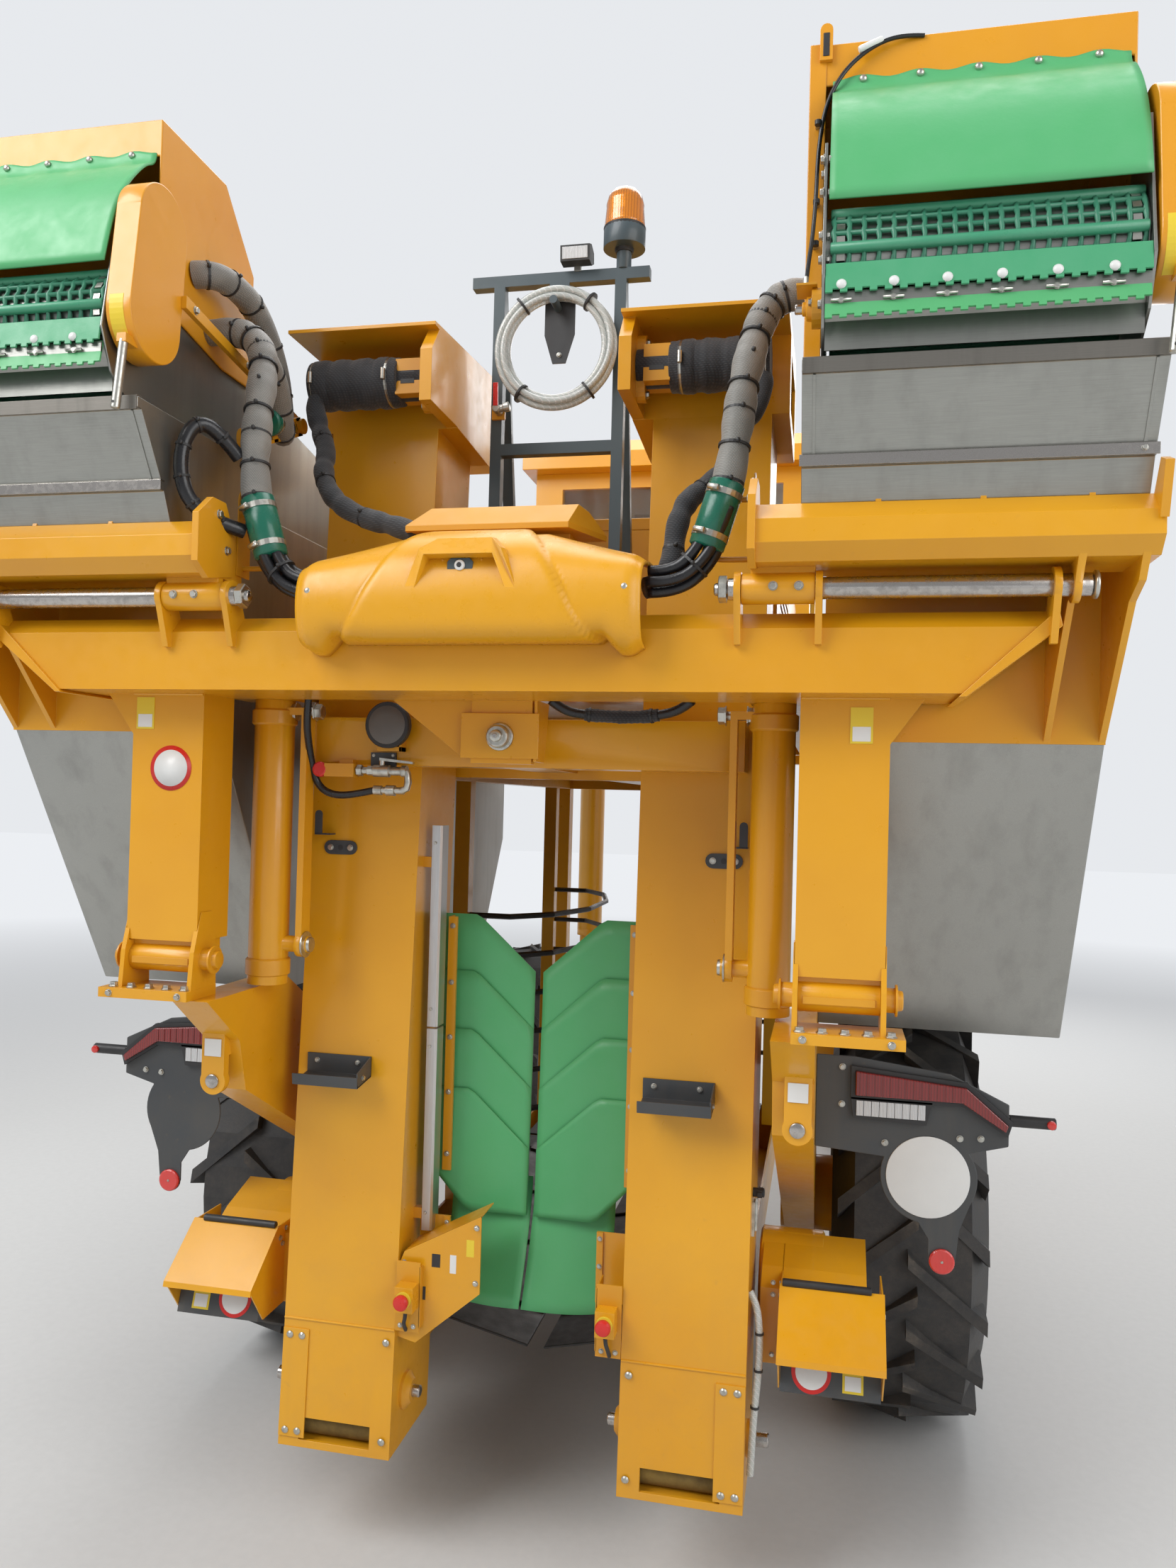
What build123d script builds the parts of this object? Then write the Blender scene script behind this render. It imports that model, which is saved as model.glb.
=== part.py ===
from build123d import *
import math
import os

# Self-propelled straddle grape harvester, parked. Millimetres, +Y forward, +X right seen from behind,
# +Z up, origin on the ground under the middle of the machine.

# Clearances
SEAT = 0.3          # gap between two pieces that are bolted or seated face to face
RUNNING = 0.05      # radial gap of a shaft in its bore

# Overall layout
REAR_END = -2840
REAR_AXLE_Y = -850
WHEELBASE = 3120
FRONT_AXLE_Y = REAR_AXLE_Y + WHEELBASE
WHEEL_X = 1095

# Tyres: outside radius at the lugs' tips, width, rim seat radius
REAR_TYRE_R = 700
REAR_TYRE_W = 480
REAR_RIM_R = 356
FRONT_TYRE_R = 570
FRONT_TYRE_W = 380
FRONT_RIM_R = 305
RIM_WALL = 14
RIM_DISH = 20
HUB_R = 130
LUG_H = 40
LUG_W = 38
LUG_RUN = 200       # how far a lug runs along the tread from the middle to the shoulder
REAR_LUGS = 19
FRONT_LUGS = 14

# Chassis
BEAM_REAR_Y = -2580
BEAM_DEPTH = 250
BEAM_BOTTOM_Z = 2350
BEAM_TOP_Z = 2530
BEAM_BEVEL = 38
BEAM_BOTTOM_HALF = 1090
BEAM_TOP_HALF = 1280
SIDE_BEAM_X0 = 665
SIDE_BEAM_X1 = 785
SIDE_BEAM_DEPTH = 160
FRONT_BEAM_DEPTH = 160
DECK_T = 10
DECK_Y0 = -1500
DECK_Y1 = 500
CROSS_Y0 = -1660
CROSS_Y1 = -1560

# Rear legs and struts
LEG_X0 = 750
LEG_X1 = 950
LEG_REAR_Y = -2473
LEG_DEPTH = 150
LEG_BOTTOM_Z = 1715
PIVOT_Y = -2440
PIVOT_Z = 1668
PIVOT_TUBE_R = 36
CLEVIS_T = 12
EAR_INSET = 9        # ears of the strut overlap the leg's side faces by this much
BASE_PLATE_Z = 1570
BASE_PLATE_T = 25
ARM_X0 = 700
ARM_X1 = 800
EYE_X = 762
EYE_Z = 1334
EYE_R = 19
EYE_OUTER_R = 36
EYE_T = 25

# Front legs
LEG_AXIS_X = 720
FRONT_SLEEVE_R = 80
FRONT_SLEEVE_BOTTOM_Z = 1260
KNUCKLE_R = 62

# Tipping bins: hinge shaft along X over the rear beam
HINGE_Y = -2600
HINGE_Z = 2575
SHAFT_R = 24
LUG_EAR_R = 38
SLEEVE_R = 34
LUG_T = 15
LUG_A_X = 605
LUG_B_X = 780
LUG_C_X = 1262
SHAFT_X0 = 590
SHAFT_X1 = 1340
BIN_X0 = 800
BIN_X1 = 1435
BIN_WALL = 6
BIN_TOP_Z = 2900
BIN_FLOOR_Z = 1500
BIN_REAR_TOP_Y = -2304
BIN_REAR_TOP_Z = 2260
BIN_FLOOR_REAR_Y = -1860
BIN_FLOOR_FRONT_Y = 200
BIN_FRONT_Y = 450
UPPER_BEAM_X0 = 640
UPPER_BEAM_X1 = 1455
UPPER_BEAM_Z0 = 2620
UPPER_BEAM_Z1 = 2745
TROUGH_X0 = 746
TROUGH_RIM_Y = -2800
TROUGH_RIM_Z = 3000
TROUGH_LIP_Y = -2690
TROUGH_LIP_Z = 2820
TROUGH_FRONT_Y = -2320

# Sorting unit on each bin, the left one set over by the unit pitch
UNIT_X0 = 745
UNIT_X1 = 1400
UNIT_PITCH = 2210
BELT_X0 = 797
BELT_X1 = 1383
BELT_T = 14
ROLLER_REAR = (-2715, 3215)
ROLLER_FRONT = (-1460, 2992)
BELT_R_REAR = 110
BELT_R_FRONT = 80
HOOD_TOP_Z = 3740
HOOD_REAR_Y = -2640
HOOD_FRONT_Y = -2180
HOOD_BOTTOM_Z = 3300
HOOD_WALL = 6
GUARD_X0 = UNIT_X1 + SEAT
GUARD_X1 = 1465
GUARD_R = 100

# Harvest head hanging from the chassis on fore-and-aft pins
HEAD_PIVOT_Z = 2250
COLUMN_X0 = 315
COLUMN_X1 = 643
COLUMN_BOTTOM_Z = 290
COLUMN_TOP_Z = 3170
COLUMN_DEPTH = 300
COLUMN_REAR_BOTTOM_Y = -2155
COLUMN_LEAN = 0.057     # forward shift for each unit of height
HEAD_X0 = 256
HEAD_X1 = 690
HEAD_Y0 = -2220
HEAD_Y1 = -1600
HEAD_TOP_Z = 3440
CASING_WALL = 10
CROSS_TUBE = 130
CROSS_TUBE_HALF = 605
PIVOT_PIN_R = 25
CONVEYOR_X0 = 430
CONVEYOR_X1 = 590
CONVEYOR_Z0 = 330
CONVEYOR_Z1 = 560
HEAD_FRONT_Y = 850
PLATE_PITCH = 220
PLATE_COUNT = 12
ROD_R = 11
ROD_COUNT = 6
ROD_PITCH = 150
ROD_FIRST_Z = 900
ROD_FRONT_Y = 500
ROD_REAR_Y = -900
FAN_X0 = 655
FAN_X1 = 835
FAN_Y = -1775
FAN_Z = 750
FAN_R = 140
FAN_WALL = 6
FAN_SHAFT_R = 15

# Cab and engine bay
CAB_HALF = 700
CAB_REAR_Y = 550
CAB_FLOOR_Z = BEAM_TOP_Z + SEAT
CAB_TOP_Z = 3780
CAB_WALL = 50
ROOF_T = 150
DOOR_Y0 = 950
DOOR_Y1 = 1640
DOOR_Z0 = 2600
DOOR_Z1 = 3730
DOOR_GAP = 6
DOOR_AXIS_X = -714
DOOR_AXIS_Y = 944
KNUCKLE_PIN_R = 12
HINGE_HEIGHTS = (2760, 3420)
GLASS_T = 6
HOOD_HALF = 640
BAY_Y0 = -1420
BAY_Y1 = 470
BAY_TOP_Z = 3000
LID_H = 40
SHEET = 6
PLATFORM_X = -1440
PLATFORM_T = 30
PLATFORM_Y0 = 850
PLATFORM_Y1 = 2300
RAIL_R = 16

# Rear cover and hose rack
COVER_HALF = 405
COVER_WALL = 8
POST_X0 = 168
POST_W = 34
RACK_Y = -1832
RACK_TOP_Z = 3673
COIL_R = 165
COIL_TUBE_R = 26
COIL_PEG_R = 12
COIL_PEG_Z = 3560
BEACON_X = 190
BEACON_R = 62
BEACON_Z = RACK_TOP_Z + 120

os.makedirs("parts", exist_ok=True)


def block(x0, x1, y0, y1, z0, z1):
    """Rectangular solid between its low and high corners."""
    corner = (Align.MIN, Align.MIN, Align.MIN)
    return Pos(x0, y0, z0) * Box(x1 - x0, y1 - y0, z1 - z0, align=corner)


def prism(axis, outline, low, high):
    """Closed outline pushed along one axis: (y, z) along x, (x, z) along y, (x, y) along z."""
    plane = {"x": Plane.YZ, "y": Plane.XZ, "z": Plane.XY}[axis]
    start = -high if axis == "y" else low
    face = make_face(Polyline(*outline, close=True))
    return extrude(plane.offset(start) * face, amount=high - low)


def rod_x(y, z, radius, x0, x1):
    return Pos((x0 + x1) / 2, y, z) * Rot(0, 90, 0) * Cylinder(radius, x1 - x0)


def rod_y(x, z, radius, y0, y1):
    return Pos(x, (y0 + y1) / 2, z) * Rot(90, 0, 0) * Cylinder(radius, y1 - y0)


def rod_z(x, y, radius, z0, z1):
    return Pos(x, y, (z0 + z1) / 2) * Cylinder(radius, z1 - z0)


def bar(start, end, radius):
    """Round bar between two points."""
    run = Vector(*end) - Vector(*start)
    plane = Plane(origin=start, z_dir=run)
    return extrude(plane * Circle(radius), amount=run.length)


def faceted(profile, sides, centre):
    """Ring about the X axis with flat facets; profile radii are those of the facets' middles."""
    grow = 1 / math.cos(math.pi / sides)
    sectors = []
    for index in range(sides):
        rims = []
        for edge in (index - 0.5, index + 0.5):
            angle = 2 * math.pi * edge / sides
            rims.append([(x, grow * r * math.sin(angle), grow * r * math.cos(angle)) for x, r in profile])
        sectors.append(rims)
    faces = []
    count = len(profile)
    for first, second in sectors:
        for here in range(count):
            there = (here + 1) % count
            corners = distinct([first[here], first[there], second[there], second[here]])
            if len(corners) > 2:
                faces.append(make_face(Polyline(*corners, close=True)))
    return Pos(*centre) * Solid(Shell([face.face() for face in faces]))


def distinct(corners):
    """Corners without repeats, for facets that run to a point on the axis."""
    kept = []
    for corner in corners:
        if all(math.dist(corner, other) > 0.01 for other in kept):
            kept.append(corner)
    return kept


def mirrored(solid):
    return mirror(solid, about=Plane.YZ)


def both(solid):
    """The right-hand piece and its mirror image."""
    return solid + mirrored(solid)


def save(node, *solids):
    shape = solids[0] if len(solids) == 1 else Compound(children=list(solids))
    export_step(shape, f"parts/{node}.step")


def save_pair(name, right):
    save(f"{name}_right", right)
    save(f"{name}_left", mirrored(right))


def obround(first, second, r_first, r_second, low, high):
    """Plate along X around two circles in the YZ plane."""
    along = math.atan2(second[1] - first[1], second[0] - first[0])
    span = math.dist(first, second)
    tilt = math.acos((r_first - r_second) / span)
    points = []
    for centre, radius, turn in ((first, r_first, tilt), (second, r_second, tilt)):
        for side in (1, -1):
            angle = along + side * turn
            points.append((centre[0] + radius * math.cos(angle), centre[1] + radius * math.sin(angle)))
    web = prism("x", [points[0], points[2], points[3], points[1]], low, high)
    return web + rod_x(*first, r_first, low, high) + rod_x(*second, r_second, low, high)


def rear_face_y(z):
    """Rear face of the leaning elevator columns at a height."""
    return COLUMN_REAR_BOTTOM_Y + COLUMN_LEAN * (z - COLUMN_BOTTOM_Z)


# Chassis: rear cross beam, side beams, front beam, rear legs, front sleeves, hinge lugs
def rear_beam():
    front = BEAM_REAR_Y + BEAM_DEPTH
    profile = [
        (BEAM_REAR_Y, BEAM_BOTTOM_Z),
        (BEAM_REAR_Y, BEAM_TOP_Z - BEAM_BEVEL),
        (BEAM_REAR_Y + BEAM_BEVEL, BEAM_TOP_Z),
        (front, BEAM_TOP_Z),
        (front, BEAM_BOTTOM_Z),
    ]
    beam = prism("x", profile, -BEAM_TOP_HALF, BEAM_TOP_HALF)
    ends = [
        (-BEAM_BOTTOM_HALF, BEAM_BOTTOM_Z),
        (BEAM_BOTTOM_HALF, BEAM_BOTTOM_Z),
        (BEAM_TOP_HALF, BEAM_TOP_Z),
        (-BEAM_TOP_HALF, BEAM_TOP_Z),
    ]
    return beam & prism("y", ends, BEAM_REAR_Y, front)


def hinge_lug(x):
    """Ear of the bin hinge, standing on the beam's bevel."""
    foot = [
        (HINGE_Y - LUG_EAR_R, HINGE_Z),
        (BEAM_REAR_Y - LUG_T, BEAM_TOP_Z - 2 * BEAM_BEVEL),
        (BEAM_REAR_Y, BEAM_TOP_Z - 2 * BEAM_BEVEL),
        (BEAM_REAR_Y + BEAM_BEVEL, BEAM_TOP_Z),
        (HINGE_Y + LUG_EAR_R, HINGE_Z),
    ]
    lug = prism("x", foot, x, x + LUG_T) + rod_x(HINGE_Y, HINGE_Z, LUG_EAR_R, x, x + LUG_T)
    return lug - rod_x(HINGE_Y, HINGE_Z, SHAFT_R + RUNNING, x - 1, x + LUG_T + 1)


def rear_leg():
    leg = block(LEG_X0, LEG_X1, LEG_REAR_Y, LEG_REAR_Y + LEG_DEPTH, LEG_BOTTOM_Z, BEAM_BOTTOM_Z)
    gusset = [(LEG_X1, 2245), (LEG_X1 + 75, BEAM_BOTTOM_Z), (LEG_X1, BEAM_BOTTOM_Z)]
    wedge = prism("y", gusset, LEG_REAR_Y, LEG_REAR_Y + LEG_DEPTH)
    inner = LEG_X0 + EAR_INSET
    outer = LEG_X1 - EAR_INSET
    neck = block(inner, outer, LEG_REAR_Y + 20, LEG_REAR_Y + LEG_DEPTH - 20, PIVOT_Z, LEG_BOTTOM_Z)
    return leg + wedge + neck + rod_x(PIVOT_Y, PIVOT_Z, PIVOT_TUBE_R, inner, outer)


def chassis():
    side_z = BEAM_TOP_Z - SIDE_BEAM_DEPTH
    beam_front = BEAM_REAR_Y + BEAM_DEPTH
    side = block(SIDE_BEAM_X0, SIDE_BEAM_X1, beam_front, FRONT_AXLE_Y, side_z, BEAM_TOP_Z)
    sleeve = rod_z(LEG_AXIS_X, FRONT_AXLE_Y, FRONT_SLEEVE_R, FRONT_SLEEVE_BOTTOM_Z, BEAM_TOP_Z)
    hanger = block(620, SIDE_BEAM_X1, beam_front, -2170, side_z - 15, side_z)
    frame = rear_beam() + both(side) + both(sleeve) + both(rear_leg()) + both(hanger)
    frame += block(-SIDE_BEAM_X0, SIDE_BEAM_X0, CROSS_Y0, CROSS_Y1, side_z + 40, BEAM_TOP_Z)
    front_y0 = FRONT_AXLE_Y - FRONT_BEAM_DEPTH / 2
    frame += block(-LEG_AXIS_X, LEG_AXIS_X, front_y0, front_y0 + FRONT_BEAM_DEPTH, side_z, BEAM_TOP_Z)
    frame += block(-SIDE_BEAM_X1, SIDE_BEAM_X1, DECK_Y0, DECK_Y1, BEAM_TOP_Z - DECK_T, BEAM_TOP_Z)
    for y in (PLATFORM_Y0 + 60, PLATFORM_Y1 - 140):
        frame += block(PLATFORM_X, -SIDE_BEAM_X0, y, y + 80, side_z + 40, BEAM_TOP_Z - PLATFORM_T - SEAT)
    for x in (LUG_A_X, LUG_B_X, LUG_C_X):
        frame += both(hinge_lug(x))
    # Hangers and pins of the harvest head
    frame += block(-80, 80, beam_front, beam_front + 30, HEAD_PIVOT_Z - 60, BEAM_BOTTOM_Z + 40)
    frame += rod_y(0, HEAD_PIVOT_Z, PIVOT_PIN_R, beam_front, -2040)
    frame += block(-80, 80, HEAD_FRONT_Y + 30, HEAD_FRONT_Y + 60, HEAD_PIVOT_Z - 60, BEAM_TOP_Z)
    frame += rod_y(0, HEAD_PIVOT_Z, PIVOT_PIN_R, HEAD_FRONT_Y - 60, HEAD_FRONT_Y + 40)
    frame += block(-SIDE_BEAM_X0, SIDE_BEAM_X0, HEAD_FRONT_Y + 30, HEAD_FRONT_Y + 110, side_z, BEAM_TOP_Z)
    return frame


save("chassis_frame", chassis())
shaft = rod_x(HINGE_Y, HINGE_Z, SHAFT_R, SHAFT_X0, SHAFT_X1)
save("hinge_shafts", shaft, mirrored(shaft))


# Rear strut: clevis round the leg's pivot tube, base plate, swinging arm, wheel motor, lashing eye
def rear_strut():
    base_top = BASE_PLATE_Z + BASE_PLATE_T
    ear = [(-2500, base_top), (-2490, 1690), (-2460, 1790), (-2410, 1790), (-2385, 1690), (-2380, base_top)]
    inner = prism("x", ear, LEG_X0 + EAR_INSET - SEAT - CLEVIS_T, LEG_X0 + EAR_INSET - SEAT)
    outer = prism("x", ear, LEG_X1 - EAR_INSET + SEAT, LEG_X1 - EAR_INSET + SEAT + CLEVIS_T)
    cut = block(LEG_X0 - 1, LEG_X1 + 1, LEG_REAR_Y - 1, -2300, LEG_BOTTOM_Z - 2, 1900)
    base = block(LEG_X0 - 4, LEG_X1 + 45, -2520, -2380, BASE_PLATE_Z, base_top)
    arm_side = [
        (-2500, BASE_PLATE_Z), (-2330, 1440), (-2290, 1300), (-1010, 600), (REAR_AXLE_Y, 560),
        (REAR_AXLE_Y + 100, 640), (REAR_AXLE_Y + 100, 790), (-2060, BASE_PLATE_Z),
    ]
    arm = prism("x", arm_side, ARM_X0, ARM_X1)
    hub = rod_x(REAR_AXLE_Y, REAR_TYRE_R, HUB_R, ARM_X0 - 20, WHEEL_X - 150 - SEAT)
    eye = block(EYE_X - 32, EYE_X + 33, -2330 - EYE_T, -2330, EYE_Z, 1470)
    eye += rod_y(EYE_X, EYE_Z, EYE_OUTER_R, -2330 - EYE_T, -2330)
    link = block(EYE_X - 32, EYE_X + 33, -2332, -2300, 1400, 1470)
    pins = rod_x(PIVOT_Y, PIVOT_Z, 28, LEG_X0 - 30, LEG_X0)
    pins += rod_x(PIVOT_Y, PIVOT_Z, 28, LEG_X1, LEG_X1 + 24)
    strut = (inner + outer - cut) + base + arm + hub + eye + link + pins
    return strut - rod_y(EYE_X, EYE_Z, EYE_R, -2400, -2300)


save_pair("rear_strut", rear_strut())


# Lift cylinders with their flat straps
def lift_cylinder():
    top = BEAM_TOP_Z - SIDE_BEAM_DEPTH - 15 - SEAT
    barrel = rod_z(680, -2225, 54, 1580, top)
    trunnion = rod_x(-2225, 1690, 22, 560, 680)
    strap = block(572, 590, -2250, -2200, 1690, top - 20) + rod_x(-2225, 1690, 34, 572, 590)
    return barrel + trunnion + strap + block(572, 680, -2250, -2200, top - 40, top - 20)


cylinder = lift_cylinder()
save("lift_cylinders", cylinder, mirrored(cylinder))


# Wheels: flat-faceted rings round the axle, with lugs in a chevron that leads at the tread's middle
def tread_lug(radius, width):
    """One lug on the right half at the top of the tyre: a ruled bar from the middle to the shoulder."""
    half = width / 2
    sections = []
    # Place across, place along the tread, share of the width, drop at the shoulder, depth of the root
    for x, y, share, drop, depth in (
        (-15, LUG_RUN / 2, 1.0, 0, LUG_H + 14),
        (half * 0.93, -LUG_RUN / 2, 1.2, 34, LUG_H + 60),
    ):
        y0 = y - LUG_W * share / 2
        y1 = y + LUG_W * share / 2
        top = math.sqrt(radius ** 2 - max(abs(y0), abs(y1)) ** 2) - drop
        outline = Polyline((x, y0 - 6, top - depth), (x, y1 + 6, top - depth), (x, y1, top), (x, y0, top), close=True)
        sections.append(make_face(outline))
    return loft(sections, ruled=True)


def tyre(radius, width, rim_r, lugs, centre):
    half = width / 2
    bulge = rim_r + (radius - rim_r) * 0.45
    tread = radius - LUG_H
    profile = [(half * 0.8, rim_r), (half, bulge), (half * 0.72, tread),
               (-half * 0.72, tread), (-half, bulge), (-half * 0.8, rim_r)]
    carcass = faceted(profile, 2 * lugs, (0, 0, 0))
    lug = tread_lug(radius, width)
    step = 360 / lugs
    ring = []
    for index in range(lugs):
        ring.append(Rot(step * index, 0, 0) * lug)
        ring.append(Rot(step * (index + 0.5), 0, 0) * mirrored(lug))
    return Pos(*centre) * carcass.fuse(*ring)


def rim(width, rim_r, lugs, centre, dish_x):
    half = width / 2 * 0.80
    outer = rim_r - SEAT
    inner = outer - RIM_WALL
    face = dish_x + RIM_DISH
    profile = [
        (-half, outer), (half, outer), (half, inner), (face, inner - 30), (face, HUB_R + 20),
        (face + 45, HUB_R - 15), (face + 45, 0), (dish_x, 0), (dish_x, inner - 30), (-half, inner),
    ]
    return faceted(profile, 2 * lugs, centre)


# Name, tyre radius, width, rim radius, lugs on each side, axle's place, inner face of the dish
WHEELS = (
    ("rear", REAR_TYRE_R, REAR_TYRE_W, REAR_RIM_R, REAR_LUGS, REAR_AXLE_Y, -150),
    ("front", FRONT_TYRE_R, FRONT_TYRE_W, FRONT_RIM_R, FRONT_LUGS, FRONT_AXLE_Y, -100),
)
for name, radius, width, rim_r, lugs, y, dish_x in WHEELS:
    centre = (WHEEL_X, y, radius)
    save_pair(f"{name}_tyre", tyre(radius, width, rim_r, lugs, centre))
    save_pair(f"{name}_rim", rim(width, rim_r, lugs, centre, dish_x))


# Steered front knuckle under the sleeve
def knuckle():
    top = FRONT_SLEEVE_BOTTOM_Z - SEAT
    post = rod_z(LEG_AXIS_X, FRONT_AXLE_Y, KNUCKLE_R, FRONT_TYRE_R - 120, top)
    hub = rod_x(FRONT_AXLE_Y, FRONT_TYRE_R, HUB_R - 10, LEG_AXIS_X - 70, WHEEL_X - 100 - SEAT)
    cap = rod_z(LEG_AXIS_X, FRONT_AXLE_Y, FRONT_SLEEVE_R, top - 40, top)
    return post + hub + cap


save_pair("front_knuckle", knuckle())


# Bins: stainless shell with the discharge trough behind it
def bin_shell():
    outer = [
        (BIN_REAR_TOP_Y, BIN_TOP_Z), (BIN_REAR_TOP_Y, BIN_REAR_TOP_Z), (BIN_FLOOR_REAR_Y, BIN_FLOOR_Z),
        (BIN_FLOOR_FRONT_Y, BIN_FLOOR_Z), (BIN_FRONT_Y, BIN_FLOOR_Z + 400), (BIN_FRONT_Y, BIN_TOP_Z),
    ]
    inner = [
        (BIN_REAR_TOP_Y + BIN_WALL, BIN_TOP_Z + 1), (BIN_REAR_TOP_Y + BIN_WALL, BIN_REAR_TOP_Z + 2),
        (BIN_FLOOR_REAR_Y + 4, BIN_FLOOR_Z + BIN_WALL), (BIN_FLOOR_FRONT_Y - 4, BIN_FLOOR_Z + BIN_WALL),
        (BIN_FRONT_Y - BIN_WALL, BIN_FLOOR_Z + 402), (BIN_FRONT_Y - BIN_WALL, BIN_TOP_Z + 1),
    ]
    shell = prism("x", outer, BIN_X0, BIN_X1)
    shell -= prism("x", inner, BIN_X0 + BIN_WALL, BIN_X1 - BIN_WALL)
    for y in (BIN_REAR_TOP_Y, ROLLER_FRONT[0] - 25, BIN_FRONT_Y - 50):
        shell += block(BIN_X0, BIN_X1, y, y + 50, BIN_TOP_Z - 30, BIN_TOP_Z)
    return shell


def trough():
    floor_z = UPPER_BEAM_Z1 + SEAT
    outer = [
        (TROUGH_LIP_Y + 35, floor_z), (TROUGH_LIP_Y, TROUGH_LIP_Z), (TROUGH_RIM_Y, TROUGH_RIM_Z),
        (TROUGH_FRONT_Y, TROUGH_RIM_Z), (TROUGH_FRONT_Y, floor_z),
    ]
    wall = BIN_WALL
    low_front = block(TROUGH_X0 + wall, BIN_X1 - wall, TROUGH_FRONT_Y - 20, TROUGH_FRONT_Y + 1,
                      BIN_TOP_Z + 15, TROUGH_RIM_Z + 1)
    inner = [
        (TROUGH_LIP_Y + 35 + wall, floor_z + wall), (TROUGH_LIP_Y + wall, TROUGH_LIP_Z + 2),
        (TROUGH_RIM_Y + wall, TROUGH_RIM_Z + 1), (TROUGH_FRONT_Y - wall, TROUGH_RIM_Z + 1),
        (TROUGH_FRONT_Y - wall, floor_z + wall),
    ]
    lip = block(TROUGH_X0, BIN_X1, TROUGH_LIP_Y - 14, TROUGH_LIP_Y + 4, TROUGH_LIP_Z - 8, TROUGH_LIP_Z + 14)
    rim_strip = block(TROUGH_X0, BIN_X1, TROUGH_RIM_Y, TROUGH_RIM_Y + 16, TROUGH_RIM_Z - 26, TROUGH_RIM_Z)
    box = prism("x", outer, TROUGH_X0, BIN_X1) - prism("x", inner, TROUGH_X0 + wall, BIN_X1 - wall)
    return box + lip + rim_strip - low_front


# Yellow bin frame: upper beam, hinge sleeve and arms, rear plate, brackets
def bin_frame():
    y0 = HINGE_Y - 100
    y1 = HINGE_Y + 100
    hexagon = [
        (y0, UPPER_BEAM_Z0 + 35), (y0, UPPER_BEAM_Z1 - 40), (y0 + 40, UPPER_BEAM_Z1),
        (y1, UPPER_BEAM_Z1), (y1, UPPER_BEAM_Z0), (y0 + 35, UPPER_BEAM_Z0),
    ]
    frame = prism("x", hexagon, UPPER_BEAM_X0, UPPER_BEAM_X1)
    plate_y = BIN_REAR_TOP_Y - SEAT
    shelf = block(BIN_X0, UPPER_BEAM_X1, y1 - 1, plate_y, UPPER_BEAM_Z1 - 12, UPPER_BEAM_Z1)
    rear_plate = block(BIN_X0, BIN_X1, plate_y - 10, plate_y, BIN_REAR_TOP_Z, UPPER_BEAM_Z1)
    frame += shelf + rear_plate
    # Sleeve between lugs A and B, and the outer arm by lug C
    clear = 1.0
    sleeve_x0 = LUG_A_X + LUG_T + clear
    sleeve_x1 = LUG_B_X - clear
    frame += rod_x(HINGE_Y, HINGE_Z, SLEEVE_R, sleeve_x0, sleeve_x1)
    frame += block(UPPER_BEAM_X0, sleeve_x1, HINGE_Y - 12, HINGE_Y + 12, HINGE_Z + 20, UPPER_BEAM_Z0 + 5)
    arm = [
        (HINGE_Y - LUG_EAR_R, HINGE_Z), (HINGE_Y - 80, UPPER_BEAM_Z0 + 20), (plate_y - 5, UPPER_BEAM_Z1 - 20),
        (plate_y - 5, BIN_REAR_TOP_Z), (HINGE_Y + LUG_EAR_R, HINGE_Z - 30),
    ]
    for x in (1300, 1420):
        frame += prism("x", arm, x, x + LUG_T)
    frame += rod_x(HINGE_Y, HINGE_Z, LUG_EAR_R, 1300, 1300 + LUG_T)
    return frame - rod_x(HINGE_Y, HINGE_Z, SHAFT_R + RUNNING, SHAFT_X0 - 5, SHAFT_X1 + 5)


save_pair("bin_shell", bin_shell())
save_pair("bin_trough", trough())
save_pair("bin_frame", bin_frame())


# Sorting unit: stainless sides, mesh belt, orange hood, rubber flap, chain guard
def belt_band(grow):
    return (ROLLER_REAR, ROLLER_FRONT, BELT_R_REAR + grow, BELT_R_FRONT + grow)


def sorter_sides():
    foot = BIN_TOP_Z + SEAT
    side = [
        (REAR_END + 40, 3060), (REAR_END, 3150), (-2790, 3440), (-2660, 3460), (-2640, 3330),
        (-1300, 3110), (-1300, foot), (BIN_REAR_TOP_Y + 4, foot), (TROUGH_FRONT_Y - 10, foot + 30),
        (-2700, foot + 90),
    ]
    inner = prism("x", side, BELT_X0 - 15, BELT_X0 - 9)
    outer = prism("x", side, UNIT_X1 - HOOD_WALL - SEAT - 6, UNIT_X1 - HOOD_WALL - SEAT)
    ties = rod_x(*ROLLER_REAR, BELT_R_REAR - BELT_T - SEAT, BELT_X0 - 12, UNIT_X1 - HOOD_WALL - 3)
    ties += rod_x(*ROLLER_FRONT, BELT_R_FRONT - BELT_T - SEAT, BELT_X0 - 12, UNIT_X1 - HOOD_WALL - 3)
    return inner + outer + ties


def sorter_belt():
    ring = obround(*belt_band(0), BELT_X0, BELT_X1)
    return ring - obround(*belt_band(-BELT_T), BELT_X0 - 1, BELT_X1 + 1)


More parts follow.
